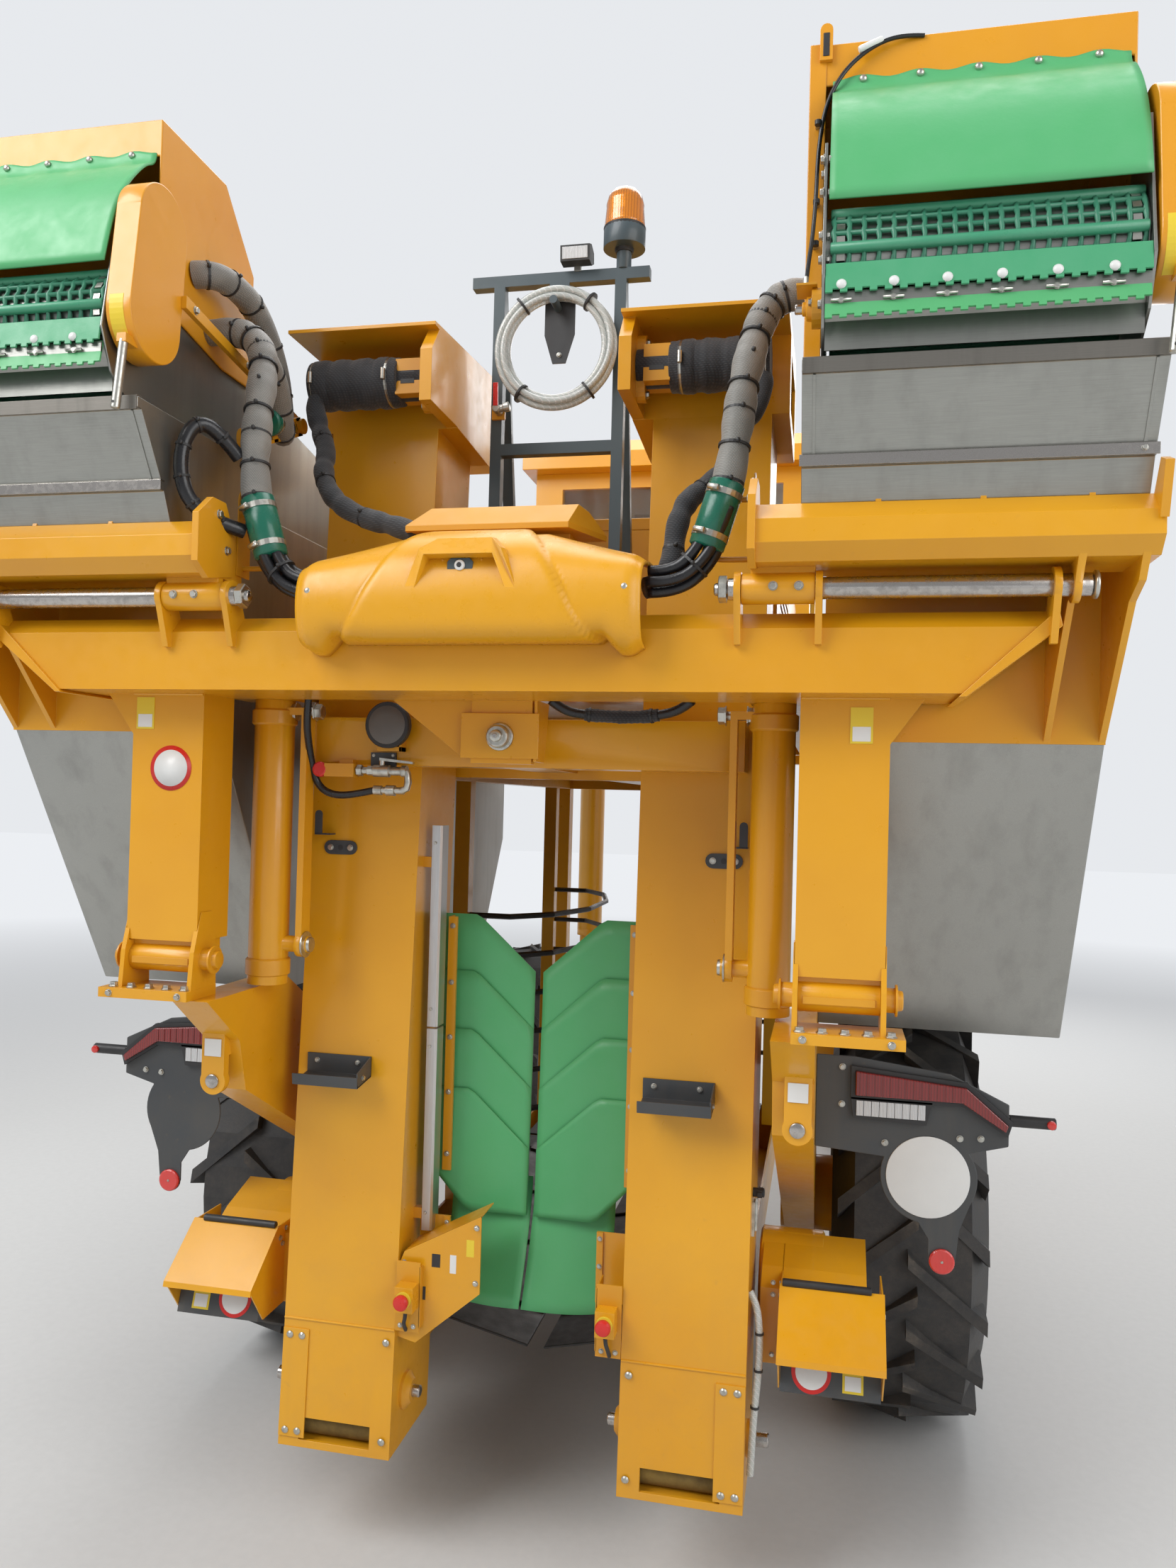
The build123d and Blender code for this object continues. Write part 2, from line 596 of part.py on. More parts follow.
def sorter_hood():
    low_z = HOOD_BOTTOM_Z - 60
    outer = [
        (HOOD_REAR_Y, HOOD_BOTTOM_Z), (HOOD_REAR_Y, HOOD_TOP_Z), (HOOD_FRONT_Y - 160, HOOD_TOP_Z),
        (HOOD_FRONT_Y, HOOD_TOP_Z - 180), (HOOD_FRONT_Y, low_z), (HOOD_FRONT_Y - 150, low_z),
    ]
    inner = [
        (HOOD_REAR_Y - 1, low_z - 10), (HOOD_REAR_Y - 1, HOOD_TOP_Z - 90),
        (HOOD_REAR_Y + HOOD_WALL, HOOD_TOP_Z - 90), (HOOD_REAR_Y + HOOD_WALL, HOOD_TOP_Z - HOOD_WALL),
        (HOOD_FRONT_Y - 163, HOOD_TOP_Z - HOOD_WALL), (HOOD_FRONT_Y - HOOD_WALL, HOOD_TOP_Z - 183),
        (HOOD_FRONT_Y - HOOD_WALL, low_z - 10),
    ]
    shell = prism("x", outer, UNIT_X0, UNIT_X1)
    shell -= prism("x", inner, UNIT_X0 + HOOD_WALL, UNIT_X1 - HOOD_WALL)
    return shell - block(UNIT_X0 + HOOD_WALL, UNIT_X1 - HOOD_WALL, HOOD_FRONT_Y - HOOD_WALL - 1,
                         HOOD_FRONT_Y + 1, low_z - 1, low_z + 25)


def sorter_flap():
    sheet = [
        (HOOD_REAR_Y - 6, 3655), (HOOD_REAR_Y - SEAT, 3655), (HOOD_REAR_Y - SEAT, 3630),
        (-2760, 3500), (-2815, 3350), (-2821, 3350), (-2768, 3503), (HOOD_REAR_Y - 6, 3634),
    ]
    return prism("x", sheet, BELT_X0, BELT_X1)


def sorter_guard():
    return obround((-2738, 3200), (-2715, 3430), GUARD_R, GUARD_R - 5, GUARD_X0, GUARD_X1)


UNIT_PIECES = {
    "sorter_sides": sorter_sides(),
    "sorter_belt": sorter_belt(),
    "sorter_hood": sorter_hood(),
    "sorter_flap": sorter_flap(),
    "sorter_guard": sorter_guard(),
}
for piece_name, piece in UNIT_PIECES.items():
    save(f"{piece_name}_right", piece)
    save(f"{piece_name}_left", Pos(-UNIT_PITCH, 0, 0) * piece)


# Harvest head: elevator columns, frame, collecting plates, flaps, picking rods, fans
def elevator():
    def leaning(z0, z1, depth0=0, depth1=COLUMN_DEPTH):
        return [(rear_face_y(z0) + depth0, z0), (rear_face_y(z1) + depth0, z1),
                (rear_face_y(z1) + depth1, z1), (rear_face_y(z0) + depth1, z0)]

    wall = CASING_WALL
    front_top = rear_face_y(COLUMN_TOP_Z) + COLUMN_DEPTH
    column = prism("x", leaning(COLUMN_BOTTOM_Z, COLUMN_TOP_Z + 5), COLUMN_X0, COLUMN_X1)
    back = rear_face_y(COLUMN_TOP_Z)
    head_side = [
        (HEAD_Y0 + 20, 3385), (HEAD_Y0 + 20, 3395), (HEAD_Y1 - 60, HEAD_TOP_Z), (HEAD_Y1, HEAD_TOP_Z - 40),
        (HEAD_Y1, COLUMN_TOP_Z - 20), (front_top, COLUMN_TOP_Z - 20), (back, COLUMN_TOP_Z), (back, 3385),
    ]
    head = prism("x", head_side, HEAD_X0, HEAD_X1)
    flange = [(HEAD_Y0, 3172), (HEAD_Y0, 3313), (HEAD_Y0 + 60, 3390), (back + 1, 3390), (back + 1, 3172)]
    head += prism("x", flange, HEAD_X0, HEAD_X0 + 34)
    duct = prism("x", leaning(COLUMN_BOTTOM_Z + wall, 3330, wall, COLUMN_DEPTH - wall),
                 COLUMN_X0 + wall, COLUMN_X1 - wall)
    chamber = block(HEAD_X0 + wall, HEAD_X1 - wall, back + wall, HEAD_Y1 - wall, COLUMN_TOP_Z + wall, 3365)
    mouth = block(HEAD_X1 - 40, HEAD_X1 + 1, back + 60, HEAD_Y1 - 30, 3200, 3360)
    slot = block(COLUMN_X0 + 60, COLUMN_X1 - 60, rear_face_y(330) - 5, rear_face_y(330) + 60, 310, 370)
    trough_x0 = CONVEYOR_X0 + wall
    trough_x1 = CONVEYOR_X1 - wall
    conveyor = block(CONVEYOR_X0, CONVEYOR_X1, -1870, HEAD_FRONT_Y, CONVEYOR_Z0, CONVEYOR_Z1)
    conveyor -= block(trough_x0, trough_x1, -1860, HEAD_FRONT_Y - wall, CONVEYOR_Z0 + wall, CONVEYOR_Z1 + 1)
    return column + head - duct - chamber - mouth - slot + conveyor


save_pair("elevator", elevator())


def head_frame():
    tube_y1 = rear_face_y(HEAD_PIVOT_Z - CROSS_TUBE / 2) - SEAT
    tube_y0 = tube_y1 - CROSS_TUBE
    z0 = HEAD_PIVOT_Z - CROSS_TUBE / 2
    z1 = HEAD_PIVOT_Z + CROSS_TUBE / 2
    frame = block(-CROSS_TUBE_HALF, CROSS_TUBE_HALF, tube_y0, tube_y1, z0, z1)
    spine = block(-60, 60, tube_y1 - 1, HEAD_FRONT_Y, z0, z1)
    portal = block(-CONVEYOR_X1, CONVEYOR_X1, HEAD_FRONT_Y - 80, HEAD_FRONT_Y, z0 - 20, z1)
    post = block(CONVEYOR_X1 - 60, CONVEYOR_X1, HEAD_FRONT_Y - 80, HEAD_FRONT_Y, CONVEYOR_Z1 + SEAT, z1)
    rail = block(CONVEYOR_X1 - 60, CONVEYOR_X1, -1700, HEAD_FRONT_Y, z0 - 20, z0 + 40)
    rear_portal = block(-CONVEYOR_X1, CONVEYOR_X1, -1700, -1640, z0 - 20, z0 + 40)
    rear_post = block(CONVEYOR_X1 - 60, CONVEYOR_X1, -1700, -1640, CONVEYOR_Z1 + SEAT, z0)
    frame += spine + portal + rear_portal + both(post) + both(rail) + both(rear_post)
    for y in (ROD_FRONT_Y, ROD_REAR_Y):
        carrier = block(CONVEYOR_X1 - 60, CONVEYOR_X1, y - 30, y + 30, CONVEYOR_Z1 + SEAT, z0 - 10)
        frame += both(carrier)
    return frame - rod_y(0, HEAD_PIVOT_Z, PIVOT_PIN_R + RUNNING, -2400, 1000)


save("head_frame", head_frame())


# Overlapping spring plates that close the tunnel's floor
def collecting_plates():
    plates = []
    seat_z = CONVEYOR_Z1 + SEAT
    outer_x = CONVEYOR_X0 + 80
    for index in range(PLATE_COUNT):
        y0 = -1800 + index * PLATE_PITCH
        lift = 9 * (index % 2)
        leaf = prism("y", [(25, 470 + lift), (CONVEYOR_X0, seat_z + lift), (CONVEYOR_X0, seat_z + 8 + lift),
                           (25, 478 + lift)], y0, y0 + PLATE_PITCH + 20)
        flange = block(CONVEYOR_X0, outer_x, y0 + 22, y0 + PLATE_PITCH - 2, seat_z, seat_z + 8)
        riser = block(CONVEYOR_X0, CONVEYOR_X0 + 8, y0 + 22, y0 + PLATE_PITCH - 2, seat_z, seat_z + 8 + lift)
        plate = leaf + flange + riser
        plates += [plate, mirrored(plate)]
    return plates


save("collecting_plates", *collecting_plates())


# Rubber flaps at the rear of the tunnel, cut at 45 degrees above
def tunnel_flaps():
    outer_x = COLUMN_X0 - SEAT
    low = prism("y", [(20, 600), (outer_x - 10, 600), (outer_x - 10, 1050), (20, 1050)], -1862, -1856)
    top = prism("y", [(20, 980), (outer_x - 10, 1000), (outer_x - 10, 1750), (230, 1750), (20, 1530)],
                -1874, -1868)
    strip = block(outer_x - 30, outer_x, -1868, -1862, 700, 1760)
    flap = low + top + strip
    return [flap, mirrored(flap)]


save("tunnel_flaps", *tunnel_flaps())


def picking_rods():
    solids = []
    for index in range(ROD_COUNT):
        z = ROD_FIRST_Z + index * ROD_PITCH
        mount_x = CONVEYOR_X1 - 60 - SEAT
        path = Polyline((mount_x, ROD_FRONT_Y, z), (370, ROD_FRONT_Y, z), (240, 300, z), (160, -50, z),
                        (155, -450, z), (240, -740, z), (370, ROD_REAR_Y, z), (mount_x, ROD_REAR_Y, z))
        section = Plane(path @ 0, z_dir=path % 0) * RegularPolygon(ROD_R, 6)
        rod = sweep(section, path=path, transition=Transition.RIGHT)
        solids += [rod, mirrored(rod)]
    return solids


save("picking_rods", *picking_rods())


# Lower cleaning fans: drum, rotor and rear-facing outlet hood
def fan_housing():
    drum = rod_x(FAN_Y, FAN_Z, FAN_R, FAN_X0, FAN_X1)
    throat = [(FAN_Y, FAN_Z + FAN_R), (-2000, FAN_Z + 60), (-2000, FAN_Z - FAN_R + 30), (FAN_Y, FAN_Z - FAN_R)]
    duct = prism("x", throat, FAN_X0, FAN_X1)
    hood = [(-1940, 790), (-2140, 725), (-2110, 600), (-1960, 600)]
    shell = prism("x", hood, 720, 990) - prism("x", [(-1950, 770), (-2122, 715), (-2095, 590), (-1950, 590)],
                                              726, 984)
    casing = drum + duct - rod_x(FAN_Y, FAN_Z, FAN_R - FAN_WALL, FAN_X0 + FAN_WALL, FAN_X1 - FAN_WALL)
    casing -= rod_x(FAN_Y, FAN_Z, 70, FAN_X1 - 20, FAN_X1 + 5)
    mount = block(COLUMN_X1 + SEAT, FAN_X0 + 1, -1860, -1700, 640, 860)
    return casing + shell + mount - rod_x(FAN_Y, FAN_Z, FAN_SHAFT_R + RUNNING, FAN_X0 - 6, FAN_X0 + 20)


def fan_rotor():
    hub = rod_x(FAN_Y, FAN_Z, 30, FAN_X0 + FAN_WALL + 4, FAN_X1 - FAN_WALL - 4)
    hub += rod_x(FAN_Y, FAN_Z, FAN_SHAFT_R, FAN_X0 - 5, FAN_X0 + 20)
    for index in range(6):
        blade = block(FAN_X0 + 14, FAN_X1 - 14, -3, 3, 20, FAN_R - FAN_WALL - 8)
        hub += Pos(0, FAN_Y, FAN_Z) * Rot(60 * index, 0, 0) * blade
    return hub


housing = fan_housing()
save("fan_housings", housing, mirrored(housing))
save_pair("fan_rotor", fan_rotor())


# Hydraulic motors of the elevator heads
def elevator_motor():
    y = HEAD_Y0 + 110
    z = 3265
    x0 = HEAD_X0 + 34 + SEAT
    return rod_x(y, z, 52, x0, x0 + 90) + rod_x(y, z, 66, x0 + 90, 640)


motor = elevator_motor()
save("elevator_motors", motor, mirrored(motor))


# Cab: walls with windows, roof, glass, door, seat and console
def cab_side(shrink):
    s = shrink
    return [
        (CAB_REAR_Y + s, CAB_FLOOR_Z + s), (2150 - s * 0.4, CAB_FLOOR_Z + s), (2420 - s, 2800),
        (2340 - s, CAB_TOP_Z - s), (CAB_REAR_Y + s, CAB_TOP_Z - s),
    ]


def cab_windows(grow, depth):
    """Cutters or panes of the fixed windows; grow widens them, depth thins them from both sides."""
    g = grow
    d = depth
    rear = block(-560 - g, 560 + g, CAB_REAR_Y + d - 1, CAB_REAR_Y + CAB_WALL - d + 1, 2960 - g, 3700 + g)
    right = block(CAB_HALF - CAB_WALL + d - 1, CAB_HALF - d + 1, 680 - g, 2150 + g, 2700 - g, 3700 + g)
    left = block(-CAB_HALF + d - 1, -CAB_HALF + CAB_WALL - d + 1, 1740 - g, 2200 + g, 2700 - g, 3700 + g)
    return [rear, right, left]


def cab_body():
    shell = prism("x", cab_side(0), -CAB_HALF, CAB_HALF)
    shell -= prism("x", cab_side(CAB_WALL), -CAB_HALF + CAB_WALL, CAB_HALF - CAB_WALL)
    for cutter in cab_windows(0, 0):
        shell -= cutter
    screen = [(2460, 2850), (2390, 3720), (2250, 3720), (2300, 2850)]
    shell -= prism("x", screen, -610, 610)
    shell -= block(-CAB_HALF - 1, -CAB_HALF + CAB_WALL + 1, DOOR_Y0, DOOR_Y1, DOOR_Z0, DOOR_Z1)
    for z in HINGE_HEIGHTS:
        shell += rod_z(DOOR_AXIS_X, DOOR_AXIS_Y, KNUCKLE_PIN_R, z, z + 40)
        shell += block(DOOR_AXIS_X, -CAB_HALF, DOOR_AXIS_Y - KNUCKLE_PIN_R, DOOR_AXIS_Y - 2, z, z + 40)
    return shell


def cab_glass():
    panes = []
    for window in cab_windows(-SEAT, (CAB_WALL - GLASS_T) / 2 + 1):
        panes.append(window)
    low_y = 2420 - CAB_WALL / 2
    high_y = 2340 - CAB_WALL / 2
    slope = (high_y - low_y) / (CAB_TOP_Z - 2800)
    y0 = low_y + slope * (2850 - 2800)
    y1 = low_y + slope * (3720 - 2800)
    outline = [(y0, 2850 + SEAT), (y1, 3720 - SEAT), (y1 - GLASS_T, 3720 - SEAT), (y0 - GLASS_T, 2850 + SEAT)]
    panes.append(prism("x", outline, -610 + SEAT, 610 - SEAT))
    return panes


def cab_door():
    x0 = -CAB_HALF
    x1 = -CAB_HALF + CAB_WALL - 10
    y0 = DOOR_Y0 + DOOR_GAP
    y1 = DOOR_Y1 - DOOR_GAP
    z0 = DOOR_Z0 + DOOR_GAP
    z1 = DOOR_Z1 - DOOR_GAP
    door = block(x0, x1, y0, y1, z0, z1)
    door -= block(x0 - 1, x1 + 1, y0 + 50, y1 - 50, z0 + 60, z1 - 60)
    for z in HINGE_HEIGHTS:
        door += rod_z(DOOR_AXIS_X, DOOR_AXIS_Y, KNUCKLE_PIN_R, z + 40 + SEAT, z + 80)
        door += block(DOOR_AXIS_X, x0, DOOR_AXIS_Y + 2, y0 + 20, z + 40 + SEAT, z + 80)
    return door


def door_glass():
    x = -CAB_HALF + 17
    inset = DOOR_GAP + SEAT
    return block(x, x + GLASS_T, DOOR_Y0 + 50 + inset, DOOR_Y1 - 50 - inset, DOOR_Z0 + 60 + inset,
                 DOOR_Z1 - 60 - inset)


def cab_seat():
    floor = CAB_FLOOR_Z + CAB_WALL + SEAT
    seat = block(-250, 250, 1000, 1480, floor + 380, floor + 500)
    back = prism("x", [(1000, floor + 400), (1110, floor + 400), (1040, floor + 1050), (940, floor + 1050)],
                 -230, 230)
    base = block(-180, 180, 1060, 1400, floor, floor + 385)
    console = block(-70, 70, 1950, 2080, floor, floor + 650)
    column = bar((0, 1990, floor + 640), (0, 1860, floor + 820), 22)
    wheel_plane = Plane(origin=(0, 1860, floor + 820), z_dir=(0, -0.58, 0.81))
    steering = wheel_plane * Cylinder(190, 24)
    return [seat + back + base, console + column + steering]


def cab_roof():
    z0 = CAB_TOP_Z + SEAT
    z1 = z0 + ROOF_T
    side = [(CAB_REAR_Y - 100, z0), (2440, z0), (2470, z0 + 60), (2380, z1), (CAB_REAR_Y - 40, z1),
            (CAB_REAR_Y - 100, z0 + 80)]
    return prism("x", side, -CAB_HALF - 50, CAB_HALF + 50)


save("cab_body", cab_body())
save("cab_glass", *cab_glass())
save("cab_door", cab_door())
save("door_glass", door_glass())
save("cab_interior", *cab_seat())
save("cab_roof", cab_roof())


# Access platform, ladder and hand rails on the left
def platform():
    z1 = BEAM_TOP_Z
    z0 = z1 - PLATFORM_T
    inner_x = -LEG_AXIS_X - FRONT_SLEEVE_R - SEAT
    deck = block(PLATFORM_X, inner_x, PLATFORM_Y0, PLATFORM_Y1, z0, z1)
    rail_z = z1 + 1000
    out_x = PLATFORM_X + RAIL_R + 6
    y0 = PLATFORM_Y0 + 420
    y1 = PLATFORM_Y1 - RAIL_R - 6
    cross_r = RAIL_R - 2
    for x, y in ((out_x, y0), (out_x, (y0 + y1) / 2), (out_x, y1), (-830, y1)):
        deck += rod_z(x, y, RAIL_R, z0 + 5, rail_z + RAIL_R)
    for z in (rail_z, z1 + 500):
        deck += rod_y(out_x, z, cross_r, y0, y1)
    deck += rod_x(y1, rail_z, cross_r, out_x, -830)
    for y in (PLATFORM_Y0 + 20, PLATFORM_Y0 + 380):
        deck += block(PLATFORM_X, PLATFORM_X + 60, y - 12, y + 12, 480, z0 + 5)
    for index in range(7):
        z = 520 + index * 290
        deck += block(PLATFORM_X + 5, PLATFORM_X + 55, PLATFORM_Y0 + 20, PLATFORM_Y0 + 380, z, z + 30)
    return deck


save("access_platform", platform())


# Engine bay behind the cab
def engine_hood():
    outer = block(-HOOD_HALF, HOOD_HALF, BAY_Y0, BAY_Y1, BEAM_TOP_Z + SEAT, BAY_TOP_Z)
    inner = block(-HOOD_HALF + SHEET, HOOD_HALF - SHEET, BAY_Y0 + SHEET, BAY_Y1 - SHEET, 2500, BAY_TOP_Z + 1)
    hood = outer - inner
    for index in range(8):
        z = 2620 + index * 40
        hood -= block(-HOOD_HALF - 1, HOOD_HALF + 1, -1200, -500, z, z + 20)
    return hood


save("engine_hood", engine_hood())


def engine_lid():
    low = BAY_TOP_Z + SEAT
    high = BAY_TOP_Z + LID_H
    lid = block(-HOOD_HALF, HOOD_HALF, BAY_Y0, BAY_Y1, low, high)
    return lid - block(-HOOD_HALF + SHEET, HOOD_HALF - SHEET, BAY_Y0 + SHEET, BAY_Y1 - SHEET, low - 1, high - SHEET)


save("engine_lid", engine_lid())
save("engine_block", block(-340, 340, -1150, -100, BEAM_TOP_Z + SEAT, 2940))


# Moulded rear cover with its box lid, hose rack, beacon, rinse hose
def rear_cover():
    rear = BEAM_REAR_Y - SEAT
    top = BEAM_TOP_Z + SEAT
    outline = [
        (rear, 2440), (rear - 60, 2450), (rear - 95, 2560), (rear - 40, 2680), (rear + 90, 2720),
        (rear + 140, 2720), (rear + 140, top), (rear + BEAM_BEVEL, top), (rear, top - BEAM_BEVEL),
    ]
    inner = [
        (rear + 1, 2460), (rear - 50, 2462), (rear - 84, 2562), (rear - 34, 2672), (rear + 90, 2711),
        (rear + 131, 2711), (rear + 131, top - 1), (rear + 20, top - 1),
    ]
    front_view = [
        (-COVER_HALF, 2430), (-COVER_HALF + 45, 2430), (-COVER_HALF + 75, 2480), (COVER_HALF - 75, 2480),
        (COVER_HALF - 45, 2430), (COVER_HALF, 2430), (COVER_HALF, 2640), (COVER_HALF - 110, 2730),
        (-COVER_HALF + 110, 2730), (-COVER_HALF, 2640),
    ]
    shell = prism("x", outline, -COVER_HALF, COVER_HALF)
    shell -= prism("x", inner, -COVER_HALF + COVER_WALL, COVER_HALF - COVER_WALL)
    shell = shell & prism("y", front_view, -2800, -2300)
    box = prism("y", [(-245, top), (245, top), (245, 2740), (190, 2775), (-190, 2775), (-245, 2740)],
                -2430, -2345)
    return [shell, box]


def hose_rack():
    cross_top = BEAM_TOP_Z + SEAT
    rear = RACK_Y - POST_W / 2
    front = RACK_Y + POST_W / 2
    rack = block(-270, 270, rear, front, RACK_TOP_Z - POST_W, RACK_TOP_Z)
    for x in (POST_X0, -POST_X0 - POST_W):
        rack += block(x, x + POST_W, rear, front, 2440, RACK_TOP_Z)
        rack += block(x, x + POST_W, RACK_Y, CROSS_Y0 - SEAT, 2440, 2440 + POST_W)
        brace = [(front - 1, RACK_TOP_Z - 80), (front - 1, RACK_TOP_Z - 40), (CROSS_Y1, cross_top),
                 (CROSS_Y1 - 40, cross_top)]
        rack += prism("x", brace, x, x + POST_W)
    rack += block(-POST_X0, POST_X0, rear, front, 3130, 3130 + POST_W)
    rack += block(-30, 30, rear, rear + 6, COIL_PEG_Z - 15, RACK_TOP_Z - POST_W)
    rack += rod_y(0, COIL_PEG_Z, COIL_PEG_R, rear - 2 * COIL_TUBE_R - 20, rear + 1)
    rack += rod_z(BEACON_X, RACK_Y, 22, RACK_TOP_Z - 1, RACK_TOP_Z + 60)
    return rack + rod_z(BEACON_X, RACK_Y, BEACON_R, RACK_TOP_Z + 60, BEACON_Z)


def beacon():
    base = BEACON_Z + SEAT
    profile = [(0, 0), (0, BEACON_R), (60, BEACON_R), (95, BEACON_R * 0.8), (118, BEACON_R * 0.4), (124, 0)]
    return Pos(BEACON_X, RACK_Y, base) * Rot(0, -90, 0) * faceted(profile, 16, (0, 0, 0))


save("rear_cover", *rear_cover())
save("hose_rack", hose_rack())
save("beacon", beacon())
coil_centre = (0, RACK_Y - POST_W / 2 - COIL_TUBE_R - 2, COIL_PEG_Z + COIL_PEG_R + SEAT + COIL_TUBE_R - COIL_R)
corner_r = COIL_TUBE_R / math.cos(math.pi / 8)
corner_angles = [math.radians(45 * turn + 22.5) for turn in range(8)]
coil_profile = [(corner_r * math.sin(angle), COIL_R + corner_r * math.cos(angle)) for angle in corner_angles]
coil = Rot(0, 0, 90) * faceted(coil_profile, 24, (0, 0, 0))
save("rinse_hose", Pos(*coil_centre) * coil)


# Lamp brackets bolted to the struts, with tail lamps
def lamp_bracket():
    plate = prism("y", [(ARM_X1 + SEAT, 1180), (1080, 1160), (1300, 1220), (1300, 1330), (1150, 1400),
                        (900, 1430), (ARM_X1 + SEAT, 1430)], -1936, -1930)
    disc = rod_y(1099, 1123, 125, -1936, -1930)
    stub = block(1290, 1417, -1936, -1916, 1275, 1300)
    return plate + disc + stub


bracket = lamp_bracket()
save("lamp_brackets", bracket, mirrored(bracket))
lamp = prism("y", [(905, 1330), (1180, 1330), (1290, 1262), (1296, 1280), (1190, 1370), (905, 1395)],
             -1960, -1936 - SEAT)
save("tail_lamps", lamp, mirrored(lamp))


# Hose bundles from the rear cover over the bin hinge to each sorting unit
def route_radii(points):
    """Radius of each corner: 0.45 of the shorter run over the tangent of half the turn."""
    radii = []
    for before, here, after in zip(points, points[1:], points[2:]):
        run_in = Vector(*here) - Vector(*before)
        run_out = Vector(*after) - Vector(*here)
        turn = math.radians(run_in.get_angle(run_out))
        radii.append(0.45 * min(run_in.length, run_out.length) / math.tan(turn / 2))
    return radii


def hose(points, radius):
    radii = route_radii(points)
    path = FilletPolyline(*points, radius=radii)
    section = Plane(path @ 0, z_dir=path % 0) * RegularPolygon(radius, 10)
    tube = sweep(section, path=path)
    print("hose radii", [round(r) for r in radii], "length", round(path.length),
          "volume ratio", round(tube.volume / (section.area * path.length), 4))
    return tube


HARNESS_R = 38
HARNESS = [
    (COVER_HALF + SEAT, -2545, 2605), (465, -2545, 2605), (525, -2548, 2655), (562, -2550, 2745),
    (585, -2545, 2850), (597, -2530, 2960), (605, -2505, 3060), (618, -2465, 3150),
]
HARNESS_END_RIGHT = [(632, -2425, 3232), (660, -2404, 3290), (700, -2400, 3312), (UNIT_X0 - SEAT, -2400, 3312)]
HARNESS_END_LEFT = [(638, -2425, 3232), (680, -2404, 3290), (742, -2400, 3312),
                    (UNIT_PITCH - UNIT_X1 - SEAT, -2400, 3312)]
save("harness_right", hose(HARNESS + HARNESS_END_RIGHT, HARNESS_R))
save("harness_left", mirrored(hose(HARNESS + HARNESS_END_LEFT, HARNESS_R)))
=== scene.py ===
import math

import bmesh
import bpy
from mathutils import Matrix, Vector


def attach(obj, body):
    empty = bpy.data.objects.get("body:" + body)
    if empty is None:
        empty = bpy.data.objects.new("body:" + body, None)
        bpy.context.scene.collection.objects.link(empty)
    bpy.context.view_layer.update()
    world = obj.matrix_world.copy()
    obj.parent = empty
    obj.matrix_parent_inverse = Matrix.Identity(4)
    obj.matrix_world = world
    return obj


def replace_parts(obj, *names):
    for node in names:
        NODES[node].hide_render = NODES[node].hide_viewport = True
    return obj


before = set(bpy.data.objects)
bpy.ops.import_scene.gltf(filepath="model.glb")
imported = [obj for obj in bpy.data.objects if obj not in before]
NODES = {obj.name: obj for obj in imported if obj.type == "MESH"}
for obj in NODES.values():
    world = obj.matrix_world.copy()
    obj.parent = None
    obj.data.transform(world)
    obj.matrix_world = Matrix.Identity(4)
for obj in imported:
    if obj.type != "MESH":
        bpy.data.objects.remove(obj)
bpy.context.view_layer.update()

SIDES = (("right", 1), ("left", -1))
UNIT_PITCH = 2.21           # the left sorting unit stands this far left of the right one
RIGHT = (1, 0, 0)
LEFT = (-1, 0, 0)
REAR = (0, -1, 0)
UP = (0, 0, 1)
REAR_AXLE = (-0.85, 0.7)    # y and z; a tyre stands on the ground, so z is also its radius
FRONT_AXLE = (2.27, 0.57)
HINGE = (-2.6, 2.575)       # y and z of the bins' hinge shafts
BEVEL_SEGMENTS = 2
BEVEL_ANGLE = 35            # degrees; flatter edges stay as they are


